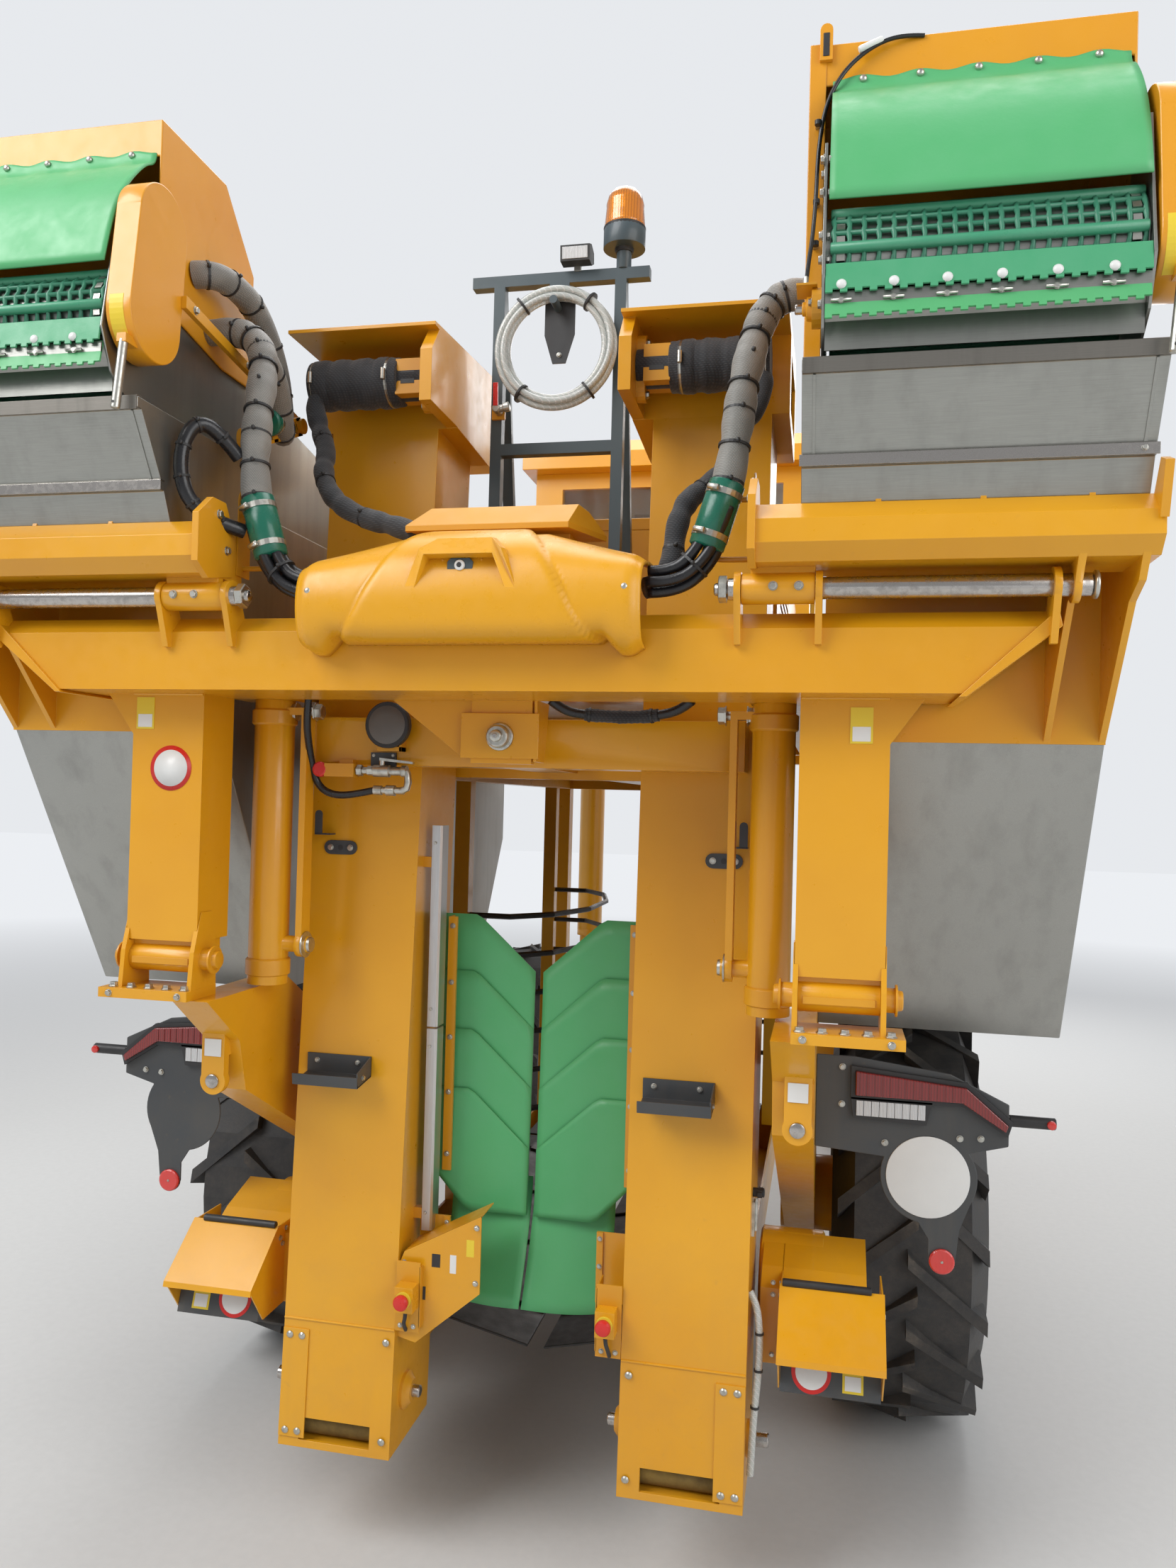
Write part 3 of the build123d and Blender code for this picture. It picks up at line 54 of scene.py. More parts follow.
# Shapes are collected in a Builder: vertices in metres in the machine's frame, faces with a material each
class Builder:
    def __init__(self):
        self.vertices = []
        self.faces = []
        self.slots = []
        self.smooth = []
        self.materials = []

    def index_of(self, material):
        if material not in self.materials:
            self.materials.append(material)
        return self.materials.index(material)

    def add(self, vertices, faces, material, smooth=False):
        base = len(self.vertices)
        self.vertices += [tuple(v) for v in vertices]
        slot = self.index_of(material)
        for face in faces:
            self.faces.append([base + i for i in face])
            self.slots.append(slot)
            self.smooth.append(smooth)

    def prism(self, axis, outline, low, high, material):
        """Closed outline pushed along an axis: (y, z) along x, (x, z) along y, (x, y) along z."""
        def place(point, depth):
            a, b = point
            return {"x": (depth, a, b), "y": (a, depth, b), "z": (a, b, depth)}[axis]

        count = len(outline)
        vertices = [place(p, low) for p in outline] + [place(p, high) for p in outline]
        faces = [[(i + 1) % count, i, i + count, (i + 1) % count + count] for i in range(count)]
        faces.append(list(range(count)))
        faces.append(list(range(2 * count - 1, count - 1, -1)))
        self.add(vertices, faces, material)

    def box(self, x0, x1, y0, y1, z0, z1, material):
        self.prism("z", [(x0, y0), (x1, y0), (x1, y1), (x0, y1)], z0, z1, material)

    def lathe(self, origin, direction, profile, material, sides=24, smooth=True):
        """Ring about a line: the profile has (distance along, radius) pairs from start to end."""
        origin = Vector(origin)
        along = Vector(direction).normalized()
        across = along.orthogonal().normalized()
        other = along.cross(across)
        vertices = []
        for distance, radius in profile:
            for k in range(sides):
                angle = 2 * math.pi * k / sides
                ray = across * math.cos(angle) + other * math.sin(angle)
                vertices.append(origin + along * distance + ray * radius)
        faces = []
        for ring in range(len(profile) - 1):
            for k in range(sides):
                here = ring * sides + k
                there = ring * sides + (k + 1) % sides
                faces.append([here, there, there + sides, here + sides])
        faces.append(list(range(sides - 1, -1, -1)))
        last = (len(profile) - 1) * sides
        faces.append([last + k for k in range(sides)])
        self.add(vertices, faces, material, smooth)

    def rod(self, start, end, radius, material, sides=16, chamfer=0.0):
        run = Vector(end) - Vector(start)
        length = run.length
        profile = [(0, radius), (length, radius)]
        if chamfer:
            profile = [(0, radius - chamfer), (chamfer, radius), (length - chamfer, radius),
                    (length, radius - chamfer)]
        self.lathe(start, run, profile, material, sides)

    def tube(self, points, radius, material, sides=12, closed=False):
        """Round tube along points, with frames carried along so that it doesn't twist."""
        points = [Vector(p) for p in points]
        count = len(points)
        tangents = []
        for i in range(count):
            before = points[i - 1] if (i or closed) else points[0]
            after = points[(i + 1) % count] if (i < count - 1 or closed) else points[-1]
            tangents.append((after - before).normalized())
        across = tangents[0].orthogonal().normalized()
        vertices = []
        for i in range(count):
            across = (across - tangents[i] * across.dot(tangents[i])).normalized()
            other = tangents[i].cross(across)
            swell = radius(i / (count - 1)) if callable(radius) else radius
            for k in range(sides):
                angle = 2 * math.pi * k / sides
                vertices.append(points[i] + (across * math.cos(angle) + other * math.sin(angle)) * swell)
        faces = []
        for ring in range(count if closed else count - 1):
            for k in range(sides):
                a = ring * sides + k
                b = ring * sides + (k + 1) % sides
                c = (ring + 1) % count * sides + (k + 1) % sides
                d = (ring + 1) % count * sides + k
                faces.append([a, b, c, d])
        if not closed:
            faces.append(list(range(sides - 1, -1, -1)))
            faces.append([(count - 1) * sides + k for k in range(sides)])
        self.add(vertices, faces, material, True)

    def band(self, centre, direction, radius, width, thickness, material, sides=24):
        """Ring round a bar, a hose or a hub."""
        outer = radius + thickness
        self.lathe(Vector(centre) - Vector(direction).normalized() * width / 2, direction,
                [(0, radius - 0.002), (0, outer), (width, outer), (width, radius - 0.002)], material,
                sides, False)

    def skin(self, grid, thickness, material):
        """Smooth sheet through columns of points, thickened away from the side that they show."""
        columns, rows = len(grid), len(grid[0])
        size = columns * rows
        inner = []
        for c in range(columns):
            for r in range(rows):
                across = grid[min(c + 1, columns - 1)][r] - grid[max(c - 1, 0)][r]
                along = grid[c][min(r + 1, rows - 1)] - grid[c][max(r - 1, 0)]
                inner.append(grid[c][r] + across.cross(along).normalized() * thickness)
        faces = []
        for c in range(columns - 1):
            for r in range(rows - 1):
                a = c * rows + r
                faces.append([a, a + rows, a + rows + 1, a + 1])
                faces.append([size + a, size + a + 1, size + a + rows + 1, size + a + rows])
        rim = [c * rows for c in range(columns)] + [(columns - 1) * rows + r for r in range(1, rows)]
        rim += [c * rows + rows - 1 for c in range(columns - 2, -1, -1)] + list(range(rows - 2, 0, -1))
        for a, b in zip(rim, rim[1:] + rim[:1]):
            faces.append([b, a, a + size, b + size])
        self.add([p for line in grid for p in line] + inner, faces, material, True)

    def bolts(self, places, direction, size, washer=True):
        for place in places:
            self.bolt(place, direction, size, washer)

    def bolt(self, place, direction, size, washer=True):
        """Zinc hexagon head on a washer, size being the thread's diameter."""
        along = Vector(direction).normalized()
        place = Vector(place)
        if washer:
            self.lathe(place, along, [(0, size * 1.15), (size * 0.18, size * 1.15)], ZINC, 14, False)
        head = place + along * size * 0.18
        self.lathe(head, along, [(0, size * 0.95), (size * 0.55, size * 0.95), (size * 0.68, size * 0.78)],
                ZINC, 6, False)

    def disc(self, place, direction, radius, height, material, sides=24):
        self.lathe(place, direction, [(0, radius), (height, radius)], material, sides)

    def copied(self, vertices, faces):
        other = Builder()
        other.materials = self.materials
        other.vertices = vertices
        other.faces = faces
        other.slots = list(self.slots)
        other.smooth = list(self.smooth)
        return other

    def mirrored(self):
        """The same shapes on the machine's other side."""
        return self.copied([(-x, y, z) for x, y, z in self.vertices], [face[::-1] for face in self.faces])

    def moved(self, dx):
        """The same shapes further right."""
        return self.copied([(x + dx, y, z) for x, y, z in self.vertices], [list(face) for face in self.faces])

    def finish(self, name, body, slot, bevel=0.0):
        """Makes the piece and lets it ride on a body; slot is not used; bevel rounds its sharp edges."""
        mesh = bpy.data.meshes.new(name)
        mesh.from_pydata(self.vertices, [], self.faces)
        for material in self.materials:
            mesh.materials.append(material)
        mesh.polygons.foreach_set("material_index", self.slots)
        mesh.polygons.foreach_set("use_smooth", self.smooth)
        cleaned = bmesh.new()
        cleaned.from_mesh(mesh)
        bmesh.ops.recalc_face_normals(cleaned, faces=cleaned.faces)
        cleaned.to_mesh(mesh)
        cleaned.free()
        mesh.update()
        piece = bpy.data.objects.new(name, mesh)
        bpy.context.scene.collection.objects.link(piece)
        if bevel:
            soften(piece, bevel)
        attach(piece, body)
        return piece


def soften(piece, width):
    """Rounds the sharp edges a little, so that they catch the light."""
    edge = piece.modifiers.new("soft_edges", "BEVEL")
    edge.width = width
    edge.segments = BEVEL_SEGMENTS
    edge.limit_method = "ANGLE"
    edge.angle_limit = math.radians(BEVEL_ANGLE)
    edge.harden_normals = True
    edge.use_clamp_overlap = True


def arc(centre, radius, start, end, steps):
    """Points on an arc in degrees, both ends included."""
    points = []
    for k in range(steps + 1):
        angle = math.radians(start + (end - start) * k / steps)
        points.append((centre[0] + radius * math.cos(angle), centre[1] + radius * math.sin(angle)))
    return points


def ring(x, centre, radius, count, first=0):
    """Places at even steps round a line along x, from an angle in degrees; the centre is its (y, z)."""
    return [(x, y, z) for y, z in arc(centre, radius, first, first + 360, count)[:-1]]


def nurbs_curve(name, points, per_span):
    """Curve of order 3 through its first and last control points."""
    curve = bpy.data.curves.new(name, "CURVE")
    curve.dimensions = "3D"
    spline = curve.splines.new("NURBS")
    spline.points.add(len(points) - 1)
    for point, place in zip(spline.points, points):
        point.co = (*place, 1)
    spline.order_u = 3
    spline.use_endpoint_u = True
    spline.resolution_u = per_span
    return curve


def spline_line(points, per_span=12):
    """Points along the smooth line that a NURBS curve makes of its control points."""
    curve = nurbs_curve("line", points, per_span)
    holder = bpy.data.objects.new("line", curve)
    mesh = bpy.data.meshes.new_from_object(holder)
    line = [Vector(v.co) for v in mesh.vertices]
    bpy.data.objects.remove(holder)
    bpy.data.curves.remove(curve)
    bpy.data.meshes.remove(mesh)
    return line


# Materials
class Nodes:
    """A material's node tree with short calls for what the finishes share."""

    def __init__(self, name):
        self.material = bpy.data.materials.new(name)
        self.material.use_nodes = True
        self.tree = self.material.node_tree
        self.shader = self.tree.nodes["Principled BSDF"]
        self.place = self.node("ShaderNodeTexCoord").outputs["Object"]

    def node(self, kind, **values):
        made = self.tree.nodes.new(kind)
        for key, value in values.items():
            setattr(made, key, value)
        return made

    def link(self, output, socket):
        self.tree.links.new(output, socket)

    def fill(self, socket, value):
        """Puts a number, vector or colour on the socket itself; an output is linked to it."""
        if isinstance(value, tuple) and socket.type == "RGBA":
            value = (*value, 1)
        if isinstance(value, (int, float, tuple)):
            socket.default_value = value
        else:
            self.link(value, socket)

    def made(self, kind, output, inputs, **values):
        """Output of a new node whose inputs are filled."""
        node = self.node(kind, **values)
        for key, value in inputs.items():
            self.fill(node.inputs[key], value)
        return node.outputs[output]

    def stretched(self, scale):
        return self.made("ShaderNodeMapping", "Vector", {"Scale": scale, "Vector": self.place})

    def noise(self, scale, detail=4, rough=0.55, place=None, distortion=0.0):
        inputs = {"Scale": scale, "Detail": detail, "Roughness": rough, "Distortion": distortion,
                  "Vector": place or self.place}
        return self.made("ShaderNodeTexNoise", "Fac", inputs)

    def voronoi(self, scale):
        inputs = {"Scale": scale, "Vector": self.place}
        return self.made("ShaderNodeTexVoronoi", "Distance", inputs, feature="F1")

    def wave(self, scale, axis, distortion):
        inputs = {"Scale": scale, "Distortion": distortion, "Detail": 0.0, "Vector": self.place}
        return self.made("ShaderNodeTexWave", "Fac", inputs, bands_direction=axis)

    def ramp(self, value, low, high, low_value=0.0, high_value=1.0):
        inputs = {"From Min": low, "From Max": high, "To Min": low_value, "To Max": high_value,
                  "Value": value}
        return self.made("ShaderNodeMapRange", "Result", inputs, clamp=True)

    def math(self, operation, first, second):
        return self.made("ShaderNodeMath", "Value", {0: first, 1: second}, operation=operation)

    def mix(self, factor, first, second):
        inputs = {"Factor": factor, "A": first, "B": second}
        return self.made("ShaderNodeMix", "Result", inputs, data_type="RGBA")

    def length(self, vector):
        return self.made("ShaderNodeVectorMath", "Value", {0: vector}, operation="LENGTH")

    def height(self):
        return self.made("ShaderNodeSeparateXYZ", "Z", {"Vector": self.place})

    def set(self, socket, value):
        self.fill(self.shader.inputs[socket], value)

    def color(self, value):
        self.set("Base Color", value)

    def rough(self, value):
        self.set("Roughness", value)

    def bump(self, value, distance, strength=1.0):
        inputs = {"Strength": strength, "Distance": distance, "Height": value}
        self.set("Normal", self.made("ShaderNodeBump", "Normal", inputs))


ROAD_FILM = (0.22, 0.17, 0.1)
SCUFF = (0.3, 0.2, 0.08)
FILM_HEIGHTS = (1.9, 0.3)   # the road film begins below the first and is full at the second
RIB_SPREAD = 6.3            # a number of ribs divided by this is a wave texture's scale


def shade(color, share):
    return tuple(share * c for c in color)


def enamel(name, color, dark, dust=0.3, rough=0.27, coat=0.45):
    """Sprayed machine paint: slight tone changes, road film low down, fine orange peel."""
    m = Nodes(name)
    tone = m.ramp(m.noise(1.7, 3), 0.35, 0.7)
    base = m.mix(tone, color, dark)
    film = m.ramp(m.noise(6.0, 8, 0.65), 0.42, 0.75)
    low = m.ramp(m.height(), *FILM_HEIGHTS)
    streaks = m.ramp(m.noise(9.0, 6, 0.6, m.stretched((1.0, 1.0, 0.1))), 0.5, 0.78)
    dirt = m.math("MULTIPLY", m.math("MAXIMUM", film, streaks), m.math("MULTIPLY", low, dust))
    scuffs = m.math("MULTIPLY", m.ramp(m.noise(38.0, 3, 0.5), 0.7, 0.8), 0.1)
    m.color(m.mix(scuffs, m.mix(dirt, base, ROAD_FILM), SCUFF))
    m.rough(m.ramp(m.math("ADD", m.noise(24.0, 5, 0.6), dirt), 0.3, 1.3, rough, rough + 0.35))
    m.set("Coat Weight", coat)
    m.set("Coat Roughness", 0.12)
    m.bump(m.noise(420.0, 2, 0.5), 0.00025, 0.5)
    return m.material


def moulded(name, color, rough=0.38, grain=900.0, dust=0.15):
    """Moulded plastic or cast resin with a fine grain."""
    m = Nodes(name)
    cloud = m.ramp(m.noise(5.0, 5, 0.6), 0.35, 0.75, 0.0, dust)
    m.color(m.mix(cloud, color, tuple(0.55 * c + 0.09 for c in color)))
    m.rough(m.ramp(m.noise(30.0, 4), 0.3, 0.8, rough - 0.06, rough + 0.12))
    m.bump(m.voronoi(grain), 0.00018, 0.5)
    return m.material


def brushed_steel(name, color, axis="X", rough=0.33, stain=0.5):
    """Stainless sheet: fine brushing along one way, water marks and a few smears."""
    m = Nodes(name)
    scale = {"X": (1.0, 60.0, 60.0), "Y": (60.0, 1.0, 60.0), "Z": (60.0, 60.0, 1.0)}[axis]
    lines = m.noise(14.0, 5, 0.7, m.stretched(scale))
    cloud = m.ramp(m.noise(2.6, 6, 0.62, distortion=0.4), 0.35, 0.72)
    runs = m.ramp(m.noise(16.0, 5, 0.6, m.stretched((1.0, 1.0, 0.07))), 0.48, 0.74)
    marks = m.math("MULTIPLY", m.math("ADD", m.math("MULTIPLY", cloud, 0.5), runs), stain)
    tone = m.mix(m.ramp(lines, 0.3, 0.7), color, shade(color, 0.82))
    m.color(m.mix(marks, tone, shade(color, 0.58)))
    m.set("Metallic", 0.92)
    m.rough(m.ramp(m.math("ADD", lines, m.math("MULTIPLY", marks, 0.7)), 0.3, 1.2, rough - 0.06, rough + 0.2))
    m.bump(lines, 0.0002, 0.5)
    return m.material


def bright_metal(name, color, rough=0.18):
    """Plated or machined metal with light wear."""
    m = Nodes(name)
    wear = m.ramp(m.noise(55.0, 5, 0.6), 0.45, 0.75)
    m.color(m.mix(wear, color, shade(color, 0.62)))
    m.set("Metallic", 1.0)
    m.rough(m.ramp(wear, 0, 1, rough, rough + 0.22))
    m.bump(m.noise(500.0, 2), 0.0001, 0.4)
    return m.material


def rubber(name, color, rough=0.62, dust=0.25, dust_color=(0.2, 0.18, 0.15), grain=160.0):
    """Matte rubber with chalky bloom and dust."""
    m = Nodes(name)
    cloud = m.ramp(m.noise(7.0, 8, 0.66), 0.38, 0.72, 0.0, dust)
    m.color(m.mix(cloud, color, dust_color))
    m.rough(m.ramp(m.noise(20.0, 4), 0.3, 0.8, rough - 0.1, rough + 0.16))
    m.bump(m.noise(grain, 3, 0.6), 0.0005, 0.6)
    return m.material


def woven(name, color, light, rough=0.7, scale=520.0):
    """Woven protective sleeve: two crossed sets of fine ribs."""
    m = Nodes(name)
    warp = m.wave(scale / RIB_SPREAD, "DIAGONAL", 0.2)
    weft = m.wave(scale / RIB_SPREAD, "Z", 0.2)
    ribs = m.math("MULTIPLY", warp, weft)
    dust = m.ramp(m.noise(12.0, 6, 0.6), 0.4, 0.75, 0.0, 0.45)
    m.color(m.mix(m.math("ADD", m.math("MULTIPLY", ribs, 0.55), dust), color, light))
    m.rough(rough)
    m.set("Sheen Weight", 0.25)
    m.bump(ribs, 0.0008, 0.8)
    return m.material


def clear_hose(name):
    """Clear PVC hose with white braid showing through."""
    m = Nodes(name)
    braid = m.math("MAXIMUM", m.ramp(m.wave(34.0, "DIAGONAL", 0.1), 0.86, 0.95),
            m.ramp(m.wave(60.0, "Z", 0.1), 0.9, 0.97))
    m.color(m.mix(braid, (0.62, 0.66, 0.63), (0.86, 0.87, 0.85)))
    m.rough(0.22)
    m.set("Transmission Weight", 0.35)
    m.set("Coat Weight", 0.5)
    m.bump(braid, 0.0006, 0.6)
    return m.material


def glazing(name, color, alpha):
    """Tinted glass with a few smears."""
    m = Nodes(name)
    smear = m.ramp(m.noise(4.0, 5, 0.6), 0.4, 0.8, 0.0, 0.35)
    m.color(m.mix(smear, color, (0.42, 0.44, 0.43)))
    m.rough(m.ramp(m.noise(9.0, 5), 0.4, 0.8, 0.03, 0.16))
    m.set("Transmission Weight", 1.0)
    m.set("IOR", 1.45)
    m.set("Alpha", alpha)
    return m.material


def lens(name, color, rough=0.12, transmission=0.35, ribs=260.0):
    """Coloured lamp lens with moulded ribs."""
    m = Nodes(name)
    rib = m.wave(ribs / RIB_SPREAD, "X", 0.0)
    m.color(m.mix(m.ramp(rib, 0.2, 0.8), color, shade(color, 0.7)))
    m.rough(rough)
    m.set("Transmission Weight", transmission)
    m.set("Coat Weight", 0.8)
    m.bump(rib, 0.0006, 0.6)
    return m.material


LUG_TOP = 0.016             # the mud film covers the tread down to this depth
TYRE_BLACK = (0.021, 0.021, 0.022)
MUD = (0.19, 0.16, 0.128)


def tyre_rubber(name, axle):
    """Tyre: near black, pale brown mud film on the lugs' tops, chalky sides."""
    radius = axle[1]
    m = Nodes(name)
    inputs = {"Location": (0, -axle[0], -axle[1]), "Scale": (0, 1, 1), "Vector": m.place}
    reach = m.length(m.made("ShaderNodeMapping", "Vector", inputs))
    proud = m.ramp(reach, radius - LUG_TOP, radius - 0.002, 0.22, 1.0)
    mud = m.ramp(m.noise(11.0, 9, 0.7), 0.36, 0.62)
    fine = m.ramp(m.noise(70.0, 5, 0.6), 0.3, 0.75)
    cover = m.math("MULTIPLY", m.math("MULTIPLY", mud, m.ramp(fine, 0, 1, 0.4, 1.0)), proud)
    m.color(m.mix(cover, TYRE_BLACK, MUD))
    m.rough(m.ramp(cover, 0.0, 0.6, 0.5, 0.86))
    m.bump(m.math("ADD", m.noise(60.0, 6, 0.65), m.math("MULTIPLY", m.noise(300.0, 3), 0.4)), 0.0012, 0.7)
    return m.material


YELLOW = enamel("yellow_enamel", (0.735, 0.35, 0.007), (0.66, 0.292, 0.006), dust=0.14, coat=0.28)
ORANGE = enamel("orange_enamel", (0.73, 0.318, 0.012), (0.66, 0.268, 0.01), dust=0.08, coat=0.3)
CAST = enamel("cast_yellow_enamel", (0.7, 0.322, 0.008), (0.59, 0.25, 0.006), dust=0.16,
        rough=0.36, coat=0.22)
COVER = moulded("cover_yellow_plastic", (0.7, 0.33, 0.008), rough=0.3, dust=0.08)
RACK = enamel("rack_grey_enamel", (0.06, 0.086, 0.098), (0.048, 0.068, 0.08), dust=0.2, rough=0.38, coat=0.15)
BRACKET = enamel("bracket_grey_enamel", (0.052, 0.057, 0.062), (0.043, 0.047, 0.051), rough=0.42, coat=0.1)
STAINLESS = brushed_steel("stainless_sheet", (0.4, 0.402, 0.372), "X", stain=0.35)
STAINLESS_UP = brushed_steel("stainless_sheet_upright", (0.42, 0.42, 0.395), "Z", stain=0.35)
SHAFT = bright_metal("shaft_steel", (0.5, 0.47, 0.44), 0.22)
ZINC = bright_metal("zinc_plate", (0.56, 0.55, 0.5), 0.32)
ALUMINIUM = brushed_steel("aluminium_rail", (0.66, 0.66, 0.66), "Z", rough=0.36, stain=0.2)
BELT = rubber("belt_green", (0.028, 0.185, 0.105), rough=0.42, dust=0.25, dust_color=(0.14, 0.32, 0.22))
FLAP = rubber("flap_green", (0.085, 0.4, 0.15), rough=0.45, dust=0.18,
        dust_color=(0.16, 0.44, 0.24), grain=60.0)
BELT_TUBE = rubber("belt_tube_green", (0.048, 0.28, 0.15), rough=0.36, dust=0.25,
        dust_color=(0.16, 0.34, 0.24))
SCRAPER = rubber("scraper_green", (0.06, 0.33, 0.155), rough=0.46, dust=0.2, dust_color=(0.14, 0.38, 0.24))
REAR_TYRE = tyre_rubber("rear_tyre_rubber", REAR_AXLE)
FRONT_TYRE = tyre_rubber("front_tyre_rubber", FRONT_AXLE)
BLACK_RUBBER = rubber("black_rubber", (0.018, 0.018, 0.019), rough=0.48, dust=0.22,
        dust_color=(0.085, 0.08, 0.075))
HOSE_BLACK = rubber("hose_black", (0.012, 0.012, 0.014), rough=0.3, dust=0.12, dust_color=(0.07, 0.07, 0.07))
SLEEVE = woven("hose_sleeve", (0.165, 0.16, 0.145), (0.33, 0.32, 0.29), rough=0.55)
FABRIC_BLACK = woven("sleeve_black", (0.014, 0.015, 0.018), (0.055, 0.057, 0.062), rough=0.8, scale=380.0)
CLAMP_GREEN = rubber("clamp_green", (0.01, 0.135, 0.085), rough=0.25, dust=0.1, dust_color=(0.08, 0.2, 0.15))
COIL = clear_hose("braided_hose")
TRIM = moulded("trim_black", (0.022, 0.022, 0.023), rough=0.5)
ENGINE = enamel("engine_grey", (0.12, 0.125, 0.13), (0.09, 0.092, 0.095), rough=0.5, coat=0.0)
DECK = brushed_steel("deck_plate", (0.42, 0.42, 0.42), "Y", rough=0.42)
GLASS = glazing("cab_glass_tint", (0.3, 0.36, 0.35), 0.45)
ROOF = enamel("roof_enamel", (0.78, 0.36, 0.014), (0.71, 0.31, 0.012), dust=0.1)
LAMP_RED = lens("lamp_red", (0.33, 0.012, 0.008))
REFLECTOR = lens("reflector_red", (0.8, 0.03, 0.02), ribs=900.0, transmission=0.1)
LAMP_AMBER = lens("lamp_amber", (0.9, 0.3, 0.012), transmission=0.45)
LED_WHITE = lens("led_white", (0.78, 0.8, 0.82), ribs=500.0, transmission=0.2)
PLATE_WHITE = moulded("plate_white", (0.74, 0.74, 0.72), rough=0.34, dust=0.25)
ROLLER = rubber("roller_residue", (0.12, 0.075, 0.02), rough=0.8, dust=0.85,
        dust_color=(0.33, 0.215, 0.05), grain=90.0)
LABEL_YELLOW = moulded("label_yellow", (0.76, 0.56, 0.03), rough=0.4)
DARK_BAND = brushed_steel("stainless_band", (0.24, 0.225, 0.2), "X", rough=0.42, stain=0.8)
HORN = moulded("horn_face", (0.11, 0.098, 0.085), rough=0.35, grain=120.0, dust=0.6)
BUTTON_RED = moulded("button_red", (0.62, 0.02, 0.015), rough=0.3)
ROD_BLACK = moulded("rod_black", (0.025, 0.025, 0.027), rough=0.42)

NODE_FINISH = {
    "chassis_frame": YELLOW, "hinge_shafts": SHAFT, "lift_cylinders": YELLOW, "cab_body": YELLOW,
    "cab_glass": GLASS, "cab_interior": TRIM, "cab_roof": ROOF, "cab_door": TRIM, "door_glass": GLASS,
    "access_platform": DECK, "engine_hood": YELLOW, "engine_lid": YELLOW, "engine_block": ENGINE,
    "rear_cover": COVER, "hose_rack": RACK, "beacon": LAMP_AMBER, "rinse_hose": COIL,
    "lamp_brackets": BRACKET, "tail_lamps": LAMP_RED, "head_frame": YELLOW, "elevator_motors": FABRIC_BLACK,
    "collecting_plates": BLACK_RUBBER, "tunnel_flaps": FLAP, "picking_rods": ROD_BLACK,
    "fan_housings": YELLOW,
}
PAIR_FINISH = {
    "rear_strut": YELLOW, "front_knuckle": YELLOW, "rear_tyre": REAR_TYRE, "front_tyre": FRONT_TYRE,
    "rear_rim": YELLOW, "front_rim": YELLOW, "bin_shell": STAINLESS_UP, "bin_trough": STAINLESS,
    "bin_frame": YELLOW, "sorter_sides": STAINLESS, "sorter_belt": BELT, "sorter_hood": ORANGE,
    "sorter_flap": FLAP, "sorter_guard": ORANGE, "elevator": YELLOW, "fan_rotor": CAST, "harness": SLEEVE,
}
for stem, finish in PAIR_FINISH.items():
    for side, _ in SIDES:
        NODE_FINISH[f"{stem}_{side}"] = finish

# Nodes whose edges stay as they are: glass, tyres and what other pieces replace
UNBEVELLED = {"cab_glass", "door_glass", "beacon", "rinse_hose", "harness_left", "harness_right",
        "picking_rods", "rear_tyre_left", "rear_tyre_right", "front_tyre_left", "front_tyre_right"}
EDGE = 0.003
WELD_REACH = 0.00005
FLAT_ANGLE = 0.5            # degrees between faces that count as one


def finish_nodes():
    """Material of each node, its triangles joined to flat faces and its edges softened."""
    for name, node in NODES.items():
        node.data.materials.clear()
        node.data.materials.append(NODE_FINISH[name])
        if name in UNBEVELLED:
            continue
        weld = node.modifiers.new("joined", "WELD")
        weld.merge_threshold = WELD_REACH
        flat = node.modifiers.new("flat_faces", "DECIMATE")
        flat.decimate_type = "DISSOLVE"
        flat.angle_limit = math.radians(FLAT_ANGLE)
        soften(node, EDGE)


finish_nodes()


# Camera, as the photograph was taken: lens from the picture's height, place from the machine's own sizes
PHOTO_H = 2212
FOCAL_PIXELS = 1600
SENSOR = 36.0
CAMERA_PLACE = (0.821, -5.1, 2.1)
CAMERA_YAW = 12.07
CAMERA_PITCH = 0.88
CAMERA_ROLL = -1.49


def add_camera():
    data = bpy.data.cameras.new("camera")
    data.sensor_fit = "AUTO"
    data.sensor_width = SENSOR
    data.lens = FOCAL_PIXELS / PHOTO_H * SENSOR
    camera = bpy.data.objects.new("camera", data)
    turn = (Matrix.Rotation(math.radians(CAMERA_YAW), 4, "Z")
            @ Matrix.Rotation(math.radians(CAMERA_PITCH), 4, "X")
            @ Matrix.Rotation(math.radians(CAMERA_ROLL), 4, "Y") @ Matrix.Rotation(math.radians(90), 4, "X"))
    camera.matrix_world = Matrix.Translation(CAMERA_PLACE) @ turn
    bpy.context.scene.collection.objects.link(camera)
    bpy.context.scene.camera = camera


FLOOR_HALF = 40.0
FLOOR_TONE = 0.62
FLOOR_FADE = (4.5, 16.0)    # the floor turns into the backdrop between these distances
SKY = (0.8, 0.82, 0.85)


def add_stage():
    mesh = bpy.data.meshes.new("floor")
    h = FLOOR_HALF
    mesh.from_pydata([(-h, -h, 0), (h, -h, 0), (h, h, 0), (-h, h, 0)], [], [(0, 1, 2, 3)])
    floor = bpy.data.objects.new("floor", mesh)
    bpy.context.scene.collection.objects.link(floor)
    m = Nodes("floor_pale")
    speck = m.ramp(m.noise(30.0, 6, 0.6), 0.3, 0.7)
    pale = (FLOOR_TONE, FLOOR_TONE, FLOOR_TONE * 0.985)
    far = m.ramp(m.length(m.place), *FLOOR_FADE)
    m.color(m.mix(far, m.mix(speck, pale, shade(pale, 0.96)), (0.0, 0.0, 0.0)))
    m.set("Emission Color", SKY)
    m.set("Emission Strength", far)
    m.rough(0.75)
    mesh.materials.append(m.material)


WORLD_LIGHT = 0.5


